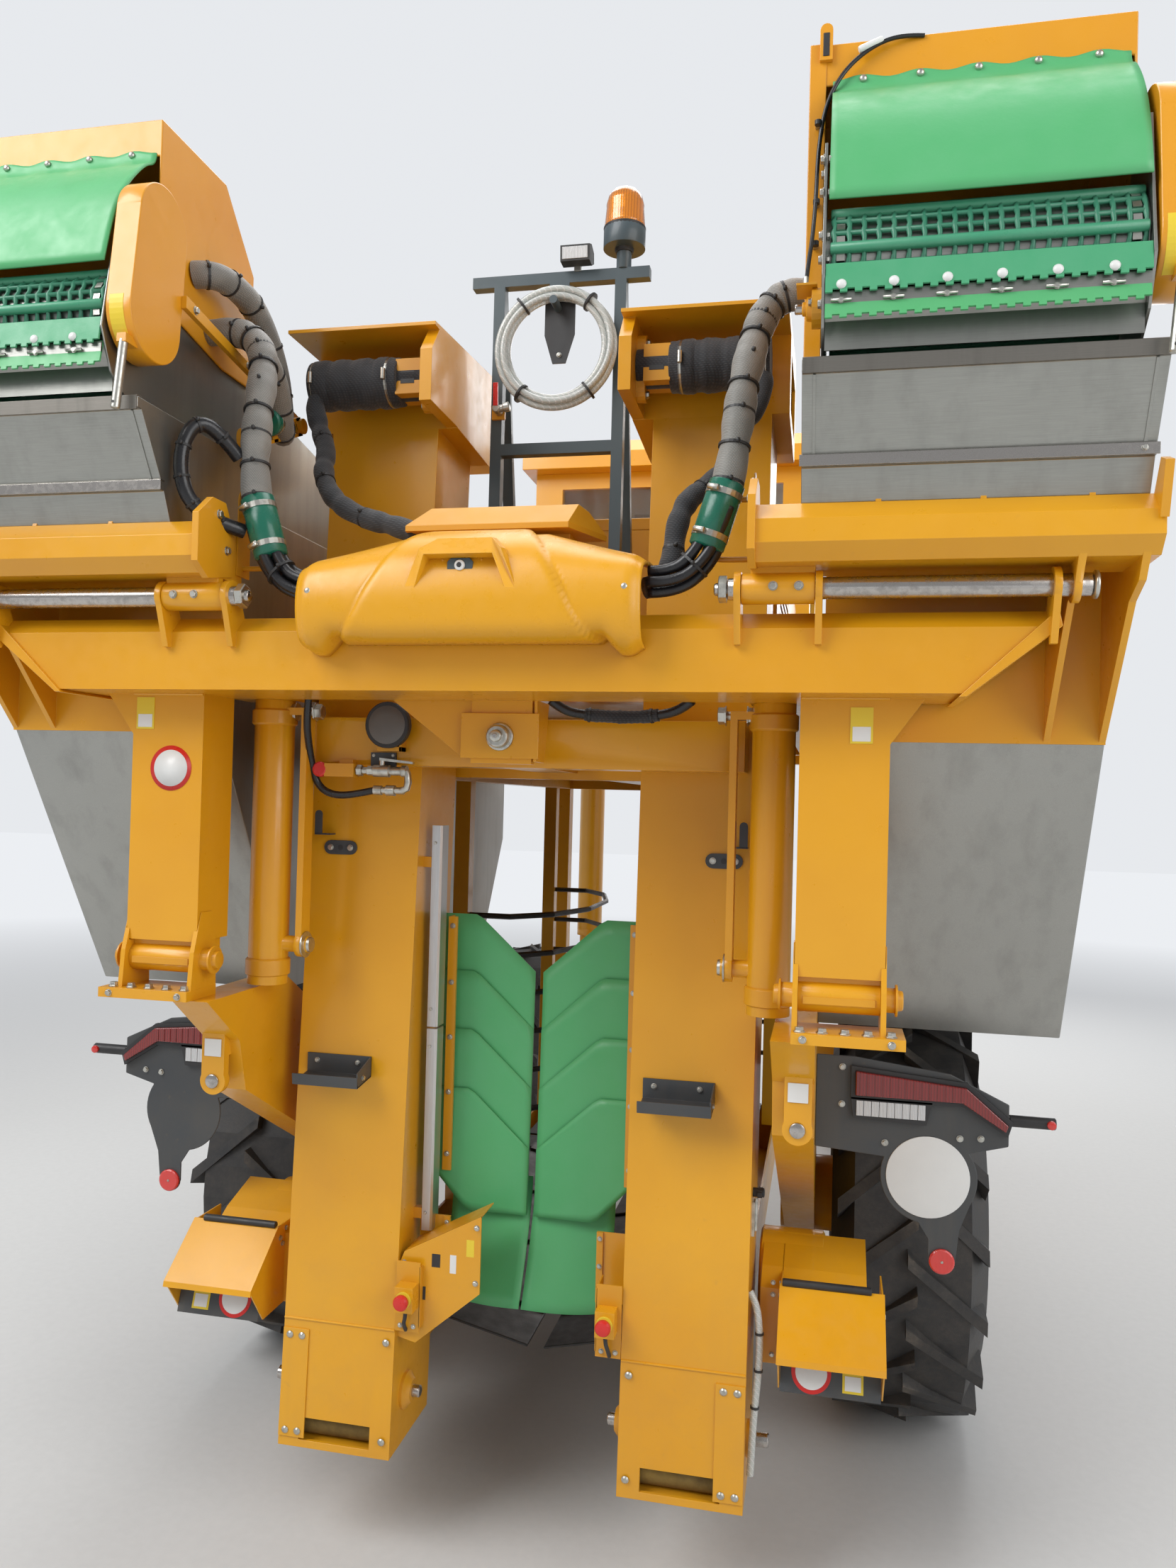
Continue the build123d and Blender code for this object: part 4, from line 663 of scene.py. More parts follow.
def add_world():
    world = bpy.data.worlds.new("studio")
    bpy.context.scene.world = world
    world.use_nodes = True
    tree = world.node_tree
    background = tree.nodes["Background"]
    background.inputs["Color"].default_value = (*SKY, 1)
    path = tree.nodes.new("ShaderNodeLightPath")
    seen = tree.nodes.new("ShaderNodeMath")
    seen.operation = "MAXIMUM"
    tree.links.new(path.outputs["Is Camera Ray"], seen.inputs[0])
    tree.links.new(path.outputs["Is Transmission Ray"], seen.inputs[1])
    level = tree.nodes.new("ShaderNodeMapRange")
    level.inputs["To Min"].default_value = WORLD_LIGHT
    level.inputs["To Max"].default_value = 1.0
    tree.links.new(seen.outputs["Value"], level.inputs["Value"])
    tree.links.new(level.outputs["Result"], background.inputs["Strength"])


# Name, place, aim, size in metres, watts
LAMPS = (
    ("key", (-4.5, -6.5, 7.5), (0.0, -1.5, 1.8), 5.0, 560),
    ("fill", (6.0, -5.5, 4.5), (0.3, -1.5, 1.8), 5.0, 240),
    ("top", (0.0, 1.0, 9.0), (0.0, -0.5, 1.0), 6.0, 380),
    ("back", (1.5, 7.5, 5.0), (0.0, 0.5, 2.0), 5.0, 260),
)


def add_lamps():
    for name, place, aim, size, watts in LAMPS:
        data = bpy.data.lights.new(name, "AREA")
        data.shape = "SQUARE"
        data.size = size
        data.energy = watts
        lamp = bpy.data.objects.new(name, data)
        lamp.location = place
        lamp.rotation_mode = "QUATERNION"
        lamp.rotation_quaternion = (Vector(aim) - Vector(place)).to_track_quat("-Z", "Y")
        bpy.context.scene.collection.objects.link(lamp)


add_camera()
add_stage()
add_world()
add_lamps()
bpy.context.scene.view_settings.view_transform = "Standard"


# Cords: hose bundles on the part's own routes, and the rinse hose in its coil
COVER_HALF = 0.405
SEAT = 0.0003
HARNESS_R = 0.038
UNIT_X0 = 0.745
UNIT_X1 = 1.4
HARNESS = [
    (COVER_HALF + SEAT, -2.545, 2.605), (0.465, -2.545, 2.605), (0.525, -2.548, 2.655),
    (0.562, -2.55, 2.745), (0.585, -2.545, 2.85), (0.597, -2.53, 2.96), (0.605, -2.505, 3.06),
    (0.618, -2.465, 3.15),
]
HARNESS_END_RIGHT = [(0.632, -2.425, 3.232), (0.66, -2.404, 3.29), (0.7, -2.4, 3.312),
        (UNIT_X0 - SEAT, -2.4, 3.312)]
HARNESS_END_LEFT = [(0.638, -2.425, 3.232), (0.68, -2.404, 3.29), (0.742, -2.4, 3.312),
        (UNIT_PITCH - UNIT_X1 - SEAT, -2.4, 3.312)]
HARNESS_ROUTES = {
    "right": HARNESS + HARNESS_END_RIGHT,
    "left": [(-x, y, z) for x, y, z in HARNESS + HARNESS_END_LEFT],
}
CLAMP_LOW_Z = 2.675         # the green clamp, where the bare hoses enter their sleeve
CLAMP_HIGH_Z = 2.825
BARE_HOSE_R = 0.0125
BARE_HOSES = 5
BARE_TURN = 0.7             # how far the bare hoses go round each other, in radians
HARNESS_TIES = 9
TIE_TIGHT = 0.93            # a tie draws a cloth sleeve in to this share of its radius
CORD_STEPS = 10             # steps between two points of a cord's route
KNOT_AIM = Vector((0.3, -1, 0.2))
SCREW_AIM = Vector((-0.5, -1, 0))


def cord_curve(name, points, radius, material):
    """Plain round hose or cable as a curve with its own thickness."""
    curve = nurbs_curve(name, points, CORD_STEPS)
    curve.bevel_depth = radius
    curve.bevel_resolution = 5
    curve.use_fill_caps = True
    curve.materials.append(material)
    piece = bpy.data.objects.new(name, curve)
    bpy.context.scene.collection.objects.link(piece)
    return piece


def along_of(line, index):
    """Direction of a line of points at one of them."""
    return (line[min(index + 1, len(line) - 1)] - line[max(index - 1, 0)]).normalized()


def square_to(along, aim):
    """The part of an aim that stands square to a line."""
    return (aim - along * along.dot(aim)).normalized()


def offset_line(line, out, angle, turn):
    """Line beside another one, out from it, going round it by turn radians on the way."""
    across = along_of(line, 0).orthogonal().normalized()
    beside = []
    for index, point in enumerate(line):
        along = along_of(line, index)
        across = (across - along * across.dot(along)).normalized()
        swing = angle + turn * index / (len(line) - 1)
        beside.append(point + (across * math.cos(swing) + along.cross(across) * math.sin(swing)) * out)
    return beside


def folds(radius, count, depth):
    """Radius along a cloth sleeve that is drawn in at its ties."""
    def at(share):
        ripple = 0.5 + 0.5 * math.cos(2 * math.pi * share * count)
        return radius * (1 - depth * ripple ** 3) + 0.0012 * math.sin(61 * share) * math.sin(23 * share)
    return at


def put_ties(shape, line, shares, radius):
    """Black ties round a line at shares of its length, each with its knot."""
    for share in shares:
        index = min(int(share * (len(line) - 1)), len(line) - 2)
        along = along_of(line, index)
        shape.band(line[index], along, radius, 0.006, 0.002, TRIM)
        out = square_to(along, KNOT_AIM)
        shape.rod(line[index] + out * radius, line[index] + out * (radius + 0.009), 0.005, TRIM, 6)


def put_clamp(shape, low, high, radius):
    """Green half shells with a steel band near each end and the band's screw housing."""
    low, high = Vector(low), Vector(high)
    along = (high - low).normalized()
    length = (high - low).length
    shape.lathe(low, along, [(0, radius - 0.002), (0.004, radius + 0.003), (length - 0.004, radius + 0.003),
            (length, radius - 0.002)], CLAMP_GREEN, 28)
    for distance in (0.028, length - 0.028):
        centre = low + along * distance
        shape.band(centre, along, radius + 0.003, 0.014, 0.0015, ZINC)
        out = square_to(along, SCREW_AIM)
        across = along.cross(out)
        screw = centre + out * (radius + 0.01)
        shape.rod(screw - across * 0.014, screw + across * 0.014, 0.007, ZINC, 10, 0.001)


def add_harness(side):
    """Five bare hoses that rise into one sleeve, held by a green clamp where it begins."""
    route = HARNESS_ROUTES[side]
    line = spline_line(route)
    start = next(i for i, point in enumerate(line) if point.z > (CLAMP_LOW_Z + CLAMP_HIGH_Z) / 2)
    bundle = Builder()
    sleeve = line[start:]
    bundle.tube(sleeve, folds(HARNESS_R - 0.001, 5, 0.13), SLEEVE, 28)
    bare = line[:start + 3]
    for k in range(BARE_HOSES):
        beside = offset_line(bare, HARNESS_R - BARE_HOSE_R, 2 * math.pi * k / BARE_HOSES, BARE_TURN)
        bundle.tube(beside, BARE_HOSE_R, HOSE_BLACK, 12)
    piece = bundle.finish(f"hose_bundle_{side}", "chassis", "hose_sleeve")
    fittings = Builder()
    low = next(point for point in line if point.z > CLAMP_LOW_Z)
    high = next(point for point in line if point.z > CLAMP_HIGH_Z)
    put_clamp(fittings, low, high, HARNESS_R)
    put_ties(fittings, sleeve, [0.1 * k for k in range(1, HARNESS_TIES + 1)], HARNESS_R * TIE_TIGHT)
    put_ties(fittings, bare, (0.45,), HARNESS_R)
    held = fittings.finish(f"hose_clamp_{side}", "chassis", "belt_green")
    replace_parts(piece, f"harness_{side}")


for side, _ in SIDES:
    add_harness(side)


COIL_CENTRE = (0.0, -1.877, 3.4333)
COIL_R = 0.165
COIL_TURNS = 4
COIL_STEPS = 16             # route points on each turn
RINSE_R = 0.0098
RINSE_STACK = 0.0145        # how far a turn lies from the middle of the stack


def add_rinse_hose():
    route = []
    for step in range(COIL_TURNS * COIL_STEPS + 1):
        round_coil = 2 * math.pi * step / COIL_STEPS + math.pi / 2
        in_stack = math.pi / 4 + (math.pi / 2) * step / COIL_STEPS
        reach = COIL_R + RINSE_STACK * math.cos(in_stack)
        route.append((COIL_CENTRE[0] + reach * math.cos(round_coil),
                COIL_CENTRE[1] + RINSE_STACK * math.sin(in_stack),
                COIL_CENTRE[2] + reach * math.sin(round_coil)))
    piece = cord_curve("rinse_hose_coil", route, RINSE_R, COIL)
    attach(piece, "chassis")
    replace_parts(piece, "rinse_hose")
    ends = Builder()
    for point, beyond in ((Vector(route[0]), Vector(route[1])), (Vector(route[-1]), Vector(route[-2]))):
        inward = (beyond - point).normalized()
        ends.lathe(point - inward * 0.004, inward,
                [(0, 0.0085), (0.002, 0.0115), (0.03, 0.0115), (0.032, 0.0098)], ZINC, 20)
    fitting = ends.finish("rinse_hose_fittings", "chassis", "shaft_steel")


add_rinse_hose()


# Cloth sleeves that hang from the elevator motors into the cover's lid
MOTOR_SLEEVE_START = [(0.56, -2.135, 3.262), (0.64, -2.14, 3.235), (0.612, -2.15, 3.13), (0.56, -2.2, 3.05)]
MOTOR_SLEEVE_END = {
    "left": [(0.545, -2.262, 2.97), (0.485, -2.32, 2.88), (0.375, -2.375, 2.815), (0.25, -2.44, 2.775),
             (0.19, -2.46, 2.75)],
    "right": [(0.556, -2.262, 2.96), (0.52, -2.33, 2.885), (0.468, -2.38, 2.84), (0.446, -2.42, 2.76),
              (0.445, -2.45, 2.67), (0.425, -2.48, 2.61), (0.39, -2.5, 2.6)],
}
MOTOR_SLEEVE_R = 0.027


def add_motor_sleeve(side, sign):
    route = [(sign * x, y, z) for x, y, z in MOTOR_SLEEVE_START + MOTOR_SLEEVE_END[side]]
    line = spline_line(route)
    sleeve = Builder()
    sleeve.tube(line, folds(MOTOR_SLEEVE_R, 9, 0.1), FABRIC_BLACK, 22)
    piece = sleeve.finish(f"motor_sleeve_{side}", "chassis", "trim_black")
    ties = Builder()
    put_ties(ties, line, (0.3, 0.55, 0.8), MOTOR_SLEEVE_R * TIE_TIGHT)
    held = ties.finish(f"motor_sleeve_ties_{side}", "chassis", "trim_black")


for side, sign in SIDES:
    add_motor_sleeve(side, sign)


# Hoses of one material on plain routes: name, points, radius, length, material, stiffness, lay
PLAIN_HOSES = (
    ("unit_loop_hose",
     [(-0.64, -2.42, 3.225), (-0.652, -2.335, 3.205), (-0.68, -2.245, 3.135), (-0.712, -2.17, 3.1),
      (-0.738, -2.125, 3.17), (-0.745, -2.15, 3.31), (-0.748, -2.27, 3.425), (-0.75, -2.4, 3.44),
      (-0.772, -2.47, 3.435), (-0.812, -2.48, 3.43)],
     0.034, 0.93, SLEEVE, "stiff", "hanging"),
    ("link_loop_hose",
     [(-0.632, -2.545, 2.93), (-0.662, -2.6, 2.985), (-0.696, -2.64, 2.992), (-0.722, -2.655, 2.93),
      (-0.722, -2.655, 2.85), (-0.7, -2.64, 2.79), (-0.655, -2.6, 2.755), (-0.61, -2.55, 2.745)],
     0.018, 0.46, HOSE_BLACK, "stiff", "hanging"),
    ("valve_hose",
     [(-0.545, -2.3, 2.372), (-0.556, -2.29, 2.3), (-0.566, -2.25, 2.235), (-0.572, -2.215, 2.18),
      (-0.56, -2.2, 2.125), (-0.52, -2.2, 2.1), (-0.46, -2.2, 2.1), (-0.395, -2.2, 2.115)],
     0.01, 0.44, HOSE_BLACK, "medium", "hanging"),
    ("hood_cable",
     [(0.98, -2.6425, 3.735), (0.93, -2.65, 3.738), (0.87, -2.655, 3.715), (0.815, -2.656, 3.67),
      (0.778, -2.656, 3.6), (0.765, -2.658, 3.5), (0.763, -2.66, 3.4), (0.758, -2.67, 3.31),
      (0.75, -2.7, 3.23), (0.748, -2.73, 3.172)],
     0.0045, 0.68, HOSE_BLACK, "medium", "hanging"),
)
HOSE_BODY = {"unit_loop_hose": "bin_left", "hood_cable": "bin_right"}
TIED_HOSES = {"unit_loop_hose": 9, "link_loop_hose": 6}


def add_plain_hoses():
    for name, route, radius, length, material, stiffness, lay in PLAIN_HOSES:
        piece = cord_curve(name, route, radius, material)
        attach(piece, HOSE_BODY.get(name, "chassis"))
        if name in TIED_HOSES:
            ties = Builder()
            count = TIED_HOSES[name]
            put_ties(ties, spline_line(route), [(k + 0.5) / count for k in range(count)], radius)
            ties.finish(f"{name}_ties", HOSE_BODY.get(name, "chassis"), "trim_black")


add_plain_hoses()


# Pieces made once on the right and set on the left: mirrored, or moved over by the units' pitch
def pair(name, body, slot, right, move=0.0, bevel=0.0, replaces=None):
    """Finishes a right piece and its left one; the names of body and replaced node take the side."""
    left = right.moved(-move) if move else right.mirrored()
    for side, shape in (("right", right), ("left", left)):
        piece = shape.finish(f"{name}_{side}", body.format(side=side), slot, bevel)
        if replaces:
            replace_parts(piece, f"{replaces}_{side}")


# Sorting unit: moulded mesh belt on two rollers
ROLLER_REAR = (-2.715, 3.215)
ROLLER_FRONT = (-1.46, 2.992)
BELT_R_REAR = 0.11
BELT_R_FRONT = 0.08
BELT_T = 0.014
BELT_X0 = 0.797
BELT_X1 = 1.383
BELT_STEPS = 99             # openings round the belt, three to each cross tube
BELT_COLUMNS = 21
TUBE_EVERY = 3
FLIGHTS = 5
FLIGHT_PITCH = 0.22
FLIGHT_H = 0.022


def belt_loop(count):
    """Places round both rollers at even steps: (y, z) and the outward direction there."""
    large = BELT_R_REAR - BELT_T / 2
    small = BELT_R_FRONT - BELT_T / 2
    run = Vector(ROLLER_FRONT) - Vector(ROLLER_REAR)
    heading = math.atan2(run.y, run.x)
    lean = math.acos((large - small) / run.length)
    straight = math.sqrt(run.length ** 2 - (large - small) ** 2)
    rear_arc = large * (2 * math.pi - 2 * lean)
    front_arc = small * 2 * lean
    total = rear_arc + front_arc + 2 * straight
    places = []
    for step in range(count):
        s = total * step / count
        if s < rear_arc:
            angle = heading + lean + s / large
            centre, radius, along = ROLLER_REAR, large, 0.0
        elif s < rear_arc + straight:
            angle = heading - lean
            centre, radius, along = ROLLER_REAR, large, (s - rear_arc) / straight
        elif s < rear_arc + straight + front_arc:
            angle = heading - lean + (s - rear_arc - straight) / small
            centre, radius, along = ROLLER_FRONT, small, 0.0
        else:
            angle = heading + lean
            centre, radius, along = ROLLER_FRONT, small, (s - rear_arc - straight - front_arc) / straight
        out = Vector((math.cos(angle), math.sin(angle)))
        other, reach = (ROLLER_FRONT, small) if centre is ROLLER_REAR else (ROLLER_REAR, large)
        spot = (Vector(centre) + out * radius).lerp(Vector(other) + out * reach, along)
        places.append((spot, out))
    return places


def mesh_belt():
    b = Builder()
    places = belt_loop(BELT_STEPS)
    x0, x1 = BELT_X0 + 0.006, BELT_X1 - 0.006
    for column in range(BELT_COLUMNS):
        x = x0 + (x1 - x0) * column / (BELT_COLUMNS - 1)
        line = []
        for k in range(2 * BELT_STEPS):
            spot, out = places[k // 2]
            if k % 2:
                spot = (spot + places[(k // 2 + 1) % BELT_STEPS][0]) / 2
            line.append((x + (0.0022 if k % 2 else 0.0), spot.x, spot.y))
        b.tube(line, lambda share: 0.0046 if round(share * (2 * BELT_STEPS - 1)) % 2 else 0.0068, BELT, 5,
                closed=True)
    for k, (spot, out) in enumerate(places):
        if k % TUBE_EVERY == 0:
            b.rod((BELT_X0, *(spot + out * 0.001)), (BELT_X1, *(spot + out * 0.001)), 0.0115,
                    BELT_TUBE, 10, 0.002)
        else:
            b.rod((x0, *spot), (x1, *spot), 0.0052, BELT, 6)
        for x in (x0 + 0.006, x1 - 0.022):
            side = Vector((-out.y, out.x)) * 0.009
            low = spot.lerp(places[(k + 1) % BELT_STEPS][0], 0.5) - out * 0.004
            block = [tuple(low - side), tuple(low + side), tuple(low + side + out * 0.007),
                    tuple(low - side + out * 0.007)]
            b.prism("x", block, x, x + 0.016, ZINC)
    run = (Vector(ROLLER_FRONT) - Vector(ROLLER_REAR)).normalized()
    up = Vector((-run.y, run.x))
    for k in range(FLIGHTS):
        foot = Vector(ROLLER_REAR) + up * (BELT_R_REAR - 0.01 - 0.005 * k) + run * FLIGHT_PITCH * (k + 0.5)
        flight = [tuple(foot), tuple(foot + run * 0.008), tuple(foot + run * 0.006 + up * (FLIGHT_H + 0.01)),
                tuple(foot + run * 0.002 + up * (FLIGHT_H + 0.01))]
        b.prism("x", flight, BELT_X0 + 0.02, BELT_X1 - 0.02, BELT_TUBE)
    return b


pair("mesh_belt", "bin_{side}", "belt_green", mesh_belt(), UNIT_PITCH, replaces="sorter_belt")


# Rubber flap over the belt, wavy between its button bolts along the top
FLAP_LINE = [(-2.6475, 3.66), (-2.6475, 3.632), (-2.69, 3.604), (-2.765, 3.51), (-2.81, 3.405),
        (-2.832, 3.306)]
FLAP_COLUMNS = 40
FLAP_T = 0.005
FLAP_BOLTS = 5


def rubber_flap():
    b = Builder()
    line = spline_line([(0, y, z) for y, z in FLAP_LINE], 6)
    rows = len(line)
    grid = []
    for column in range(FLAP_COLUMNS + 1):
        share = column / FLAP_COLUMNS
        x = BELT_X0 - 0.004 + (BELT_X1 - BELT_X0 + 0.008) * share
        wave = math.cos(2 * math.pi * (share * FLAP_BOLTS - 0.5))
        column_line = []
        for row, point in enumerate(line):
            down = row / (rows - 1)
            along = along_of(line, row)
            out = Vector((0, along.z, -along.y))
            lift = 0.0025 * (1 - wave) * max(0.0, 1 - 3 * down) + 0.004 * math.sin(2.6 * share + 0.4) * down
            rise = 0.003 * wave * max(0.0, 1 - 4 * down)
            column_line.append(Vector((x, point.y, point.z + rise)) - out * lift)
        grid.append(column_line)
    b.skin(grid, FLAP_T, FLAP)
    for k in range(FLAP_BOLTS):
        x = BELT_X0 + (BELT_X1 - BELT_X0) * (k + 0.5) / FLAP_BOLTS
        b.lathe((x, -2.646, 3.652), REAR, [(0, 0.008), (0.006, 0.008), (0.009, 0.005),
                (0.01, 0.002)], ZINC, 18)
    return b


pair("rubber_flap", "bin_{side}", "flap_green", rubber_flap(), UNIT_PITCH, replaces="sorter_flap")


# Scrapers under the belt: two notched rubber strips on a steel bar, with button bolts and clips
SCRAPER_BOLT_X = (0.82, 0.92, 1.02, 1.12, 1.22, 1.32)
STRIP_T = 0.005
STRIP_TEETH = 21
TOOTH_ROOT = 0.88           # share of the strip's height where its teeth begin


def notched_strip(b, x0, x1, top, bottom, material):
    """Strip across the belt between two (y, z) edges; its lower edge is cut into teeth."""
    outline = [(x0, 0.0)]
    for k in range(STRIP_TEETH):
        left, mid, right = (x0 + (x1 - x0) * (k + step) / STRIP_TEETH for step in (0, 0.5, 1))
        outline += [(left, 1.0), (mid, 1.0), (mid, TOOTH_ROOT), (right, TOOTH_ROOT)]
    outline.append((x1, 0.0))
    top, bottom = Vector(top), Vector(bottom)
    across = (bottom - top).normalized()
    thin = Vector((across.y, -across.x)) * STRIP_T
    count = len(outline)
    vertices = []
    for layer in (0, 1):
        for x, share in outline:
            spot = top.lerp(bottom, share) + thin * layer
            vertices.append((x, spot.x, spot.y))
    faces = [list(range(count)), list(range(2 * count - 1, count - 1, -1))]
    faces += [[(i + 1) % count, i, i + count, (i + 1) % count + count] for i in range(count)]
    b.add(vertices, faces, material)


def scrapers():
    b = Builder()
    x0, x1 = BELT_X0 - 0.008, BELT_X1 + 0.004
    notched_strip(b, x0, x1, (-2.829, 3.172), (-2.837, 3.112), SCRAPER)
    notched_strip(b, x0, x1, (-2.82, 3.12), (-2.831, 3.064), FLAP)
    b.prism("x", [(-2.83, 3.118), (-2.825, 3.118), (-2.825, 3.094), (-2.83, 3.094)], x0, x1, STAINLESS)
    b.prism("x", [(-2.819, 3.12), (-2.78, 3.08), (-2.78, 3.02), (-2.784, 3.02), (-2.784, 3.078),
            (-2.823, 3.116)], x0, x1, STAINLESS)
    for x in SCRAPER_BOLT_X:
        b.lathe((x, -2.837, 3.128), (0, -1, 0.1), [(0, 0.01), (0.004, 0.01), (0.008, 0.006)], PLATE_WHITE, 16)
        b.rod((x - 0.02, -2.834, 3.1), (x + 0.02, -2.834, 3.1), 0.0036, ZINC, 8)
        b.bolt((x, -2.832, 3.1), REAR, 0.006)
    return b


pair("scrapers", "bin_{side}", "flap_green", scrapers(), UNIT_PITCH)


# Fittings of a sorting unit: bearing flange, plate bolts, cable tab and clips, hood ear, hanging bar,
# blank label on the guard
GUARD_R = 0.1
GUARD_LOW = (-2.738, 3.2)
BEARING = (-2.73, 3.13)
PLATE_BOLTS = [(-2.8, 3.4), (-2.805, 3.33), (-2.812, 3.24), (-2.815, 3.19), (-2.795, 3.11), (-2.7, 3.425)]


def unit_fittings():
    b = Builder()
    x = BELT_X0 - 0.0155
    b.prism("x", arc(BEARING, 0.04, 0, 360, 20)[:-1], x - 0.02, x, CAST)
    b.lathe((x - 0.018, *BEARING), LEFT, [(0, 0.026), (0.012, 0.024), (0.014, 0.014), (0.02, 0.014),
            (0.022, 0.012)], CAST, 20)
    b.rod((x - 0.055, *BEARING), (x - 0.03, *BEARING), 0.01, SHAFT, 16, 0.002)
    b.bolts([(x - 0.02, -2.762, 3.13), (x - 0.02, -2.698, 3.13)], LEFT, 0.008)
    b.bolts([(x, y, z) for y, z in PLATE_BOLTS], LEFT, 0.009)
    b.bolts([(BELT_X0 - 0.0085, y, z) for y, z in PLATE_BOLTS[:4]], RIGHT, 0.008, False)
    # Angle tab for the hood's cable, and the hooked ear on the hood with its slot, drawn as a thin black
    # sheet on the ear: painted shade in place of an opening
    b.prism("z", [(0.73, -2.768), (0.772, -2.768), (0.772, -2.7), (0.73, -2.7)], 3.164, 3.169, CAST)
    b.lathe((0.748, -2.735, 3.169), UP, [(0, 0.009), (0.01, 0.009), (0.012, 0.006), (0.026, 0.0055)],
            ZINC, 6, False)
    ear = [(0.764, 3.7)] + arc((0.7775, 3.766), 0.0135, 180, 0, 8) + [(0.791, 3.7)]
    b.prism("y", ear, -2.652, -2.641, ORANGE)
    # Thin black sheet over the ear's slot: painted shade, not a cut opening
    b.prism("y", [(0.771, 3.708), (0.771, 3.758), (0.784, 3.758), (0.784, 3.708)], -2.6535, -2.6515, TRIM)
    for z in (3.56, 3.39, 3.3):
        b.band((0.764, -2.66, z), UP, 0.0045, 0.01, 0.003, TRIM, 12)
        b.box(0.758, 0.77, -2.66, -2.64, z - 0.004, z + 0.004, ZINC)
    b.lathe((0.895, -2.653, 3.73), (-0.86, -0.08, -0.36),
            [(0, 0.006), (0.004, 0.0075), (0.05, 0.0075), (0.054, 0.006)], PLATE_WHITE, 14)
    # Round steel bar that hangs behind the guard
    b.rod((1.442, -2.826, 3.12), (1.428, -2.829, 2.962), 0.0105, ZINC, 18, 0.002)
    b.rod((1.428, -2.84, 2.975), (1.428, -2.818, 2.975), 0.0035, TRIM, 10)
    b.box(1.43, 1.454, -2.836, -2.79, 3.112, 3.132, ORANGE)
    # Blank label round the guard's lower curve
    out = arc(GUARD_LOW, GUARD_R + 0.0012, 168, 232, 10)
    inn = arc(GUARD_LOW, GUARD_R - 0.001, 232, 168, 10)
    b.prism("x", out + inn, 1.41, 1.446, LABEL_YELLOW)
    return b


pair("unit_fittings", "bin_{side}", "shaft_steel", unit_fittings(), UNIT_PITCH, bevel=0.0008)


# Trough: corner seams, rim band, bright folded lip
TROUGH_X0 = 0.746
TROUGH_X1 = 1.435


def rear_wall_y(z):
    """The trough's sloping rear wall between its lip and its rim."""
    return -2.69 - 0.11 * (z - 2.82) / 0.18


def trough_trim():
    b = Builder()
    for x in (TROUGH_X0 + 0.022, TROUGH_X1 - 0.026):
        low, high = rear_wall_y(2.836), rear_wall_y(2.972)
        outline = [(low - 0.003, 2.836), (high - 0.003, 2.972), (high + 0.001, 2.972), (low + 0.001, 2.836)]
        b.prism("x", outline, x, x + 0.006, STAINLESS)
    b.prism("x", [(-2.802, 2.97), (-2.8035, 3.001), (-2.799, 3.0035), (-2.78, 3.0035), (-2.78, 3.0005),
            (-2.7985, 3.0), (-2.7985, 2.97)], TROUGH_X0 + 0.001, TROUGH_X1 - 0.001, DARK_BAND)
    b.prism("x", [(-2.706, 2.811), (-2.7075, 2.834), (-2.703, 2.836), (-2.688, 2.836), (-2.688, 2.834),
            (-2.704, 2.8335), (-2.704, 2.811)], TROUGH_X0 - 0.004, TROUGH_X1 + 0.004, SHAFT)
    b.bolts([(1.41, -2.7065, 2.824)], (0, -1, 0.1), 0.006)
    return b


pair("trough_trim", "bin_{side}", "stainless", trough_trim(), bevel=0.0006)


# Hinge shafts: nut, end and outer washer, clamp bolts; under the beam the pins that carry the flat straps
LIFT_PIN = (-2.225, 2.325)


def hinge_fittings():
    b = Builder()
    b.lathe((0.588, *HINGE), LEFT, [(0, 0.03), (0.016, 0.03), (0.018, 0.027)], ZINC, 6, False)
    b.rod((0.604, *HINGE), (0.56, *HINGE), 0.014, SHAFT, 18, 0.003)
    b.lathe((1.34, *HINGE), RIGHT, [(0, 0.021), (0.004, 0.03), (0.01, 0.03), (0.012, 0.026)], ZINC, 24)
    for x in (0.69, 0.745):
        b.bolt((x, -2.634, 2.575), REAR, 0.009)
    b.rod((0.548, *LIFT_PIN), (0.652, *LIFT_PIN), 0.012, ZINC, 16, 0.002)
    for x, out in ((0.56, LEFT), (0.612, RIGHT)):
        b.lathe((x, *LIFT_PIN), out, [(0, 0.026), (0.003, 0.026), (0.004, 0.022), (0.02, 0.022),
                (0.022, 0.018)], ZINC, 6, False)
    return b


pair("hinge_fittings", "chassis", "shaft_steel", hinge_fittings())


# Centre of the beam: plates and box that hold the head's pin, and the pin's nut. On the head's cross tube:
# round horn, blank box, valve
HEAD_PIN_Z = 2.258
TUBE_REAR_Y = -2.177        # rear face of the head's cross tube
HORN_PLACE = (-0.35, 2.292)
VALVE_Z = 2.168
VALVE_OUT = 0.031           # the valve's line stands this far behind the tube


def beam_centre():
    b = Builder()
    b.prism("y", [(-0.3, 2.352), (-0.105, 2.205), (-0.075, 2.205), (-0.075, 2.352)], -2.322, -2.316, YELLOW)
    b.prism("x", [(-2.334, 2.352), (-2.334, 2.196), (-2.25, 2.196), (-2.21, 2.352)], 0.086, 0.094, YELLOW)
    b.box(-0.105, 0.1, -2.34, -2.3295, 2.203, 2.318, YELLOW)
    b.lathe((0.0, -2.34, HEAD_PIN_Z), REAR, [(0, 0.036), (0.007, 0.036), (0.009, 0.033), (0.009, 0.029),
            (0.03, 0.029), (0.034, 0.025), (0.034, 0.015), (0.046, 0.015), (0.048, 0.011)], ZINC, 24)
    b.lathe((0.0, -2.386, HEAD_PIN_Z), REAR, [(0, 0.007), (0.006, 0.007)], SHAFT, 6, False)
    return b.finish("beam_centre", "chassis", "machine_yellow", 0.0015)


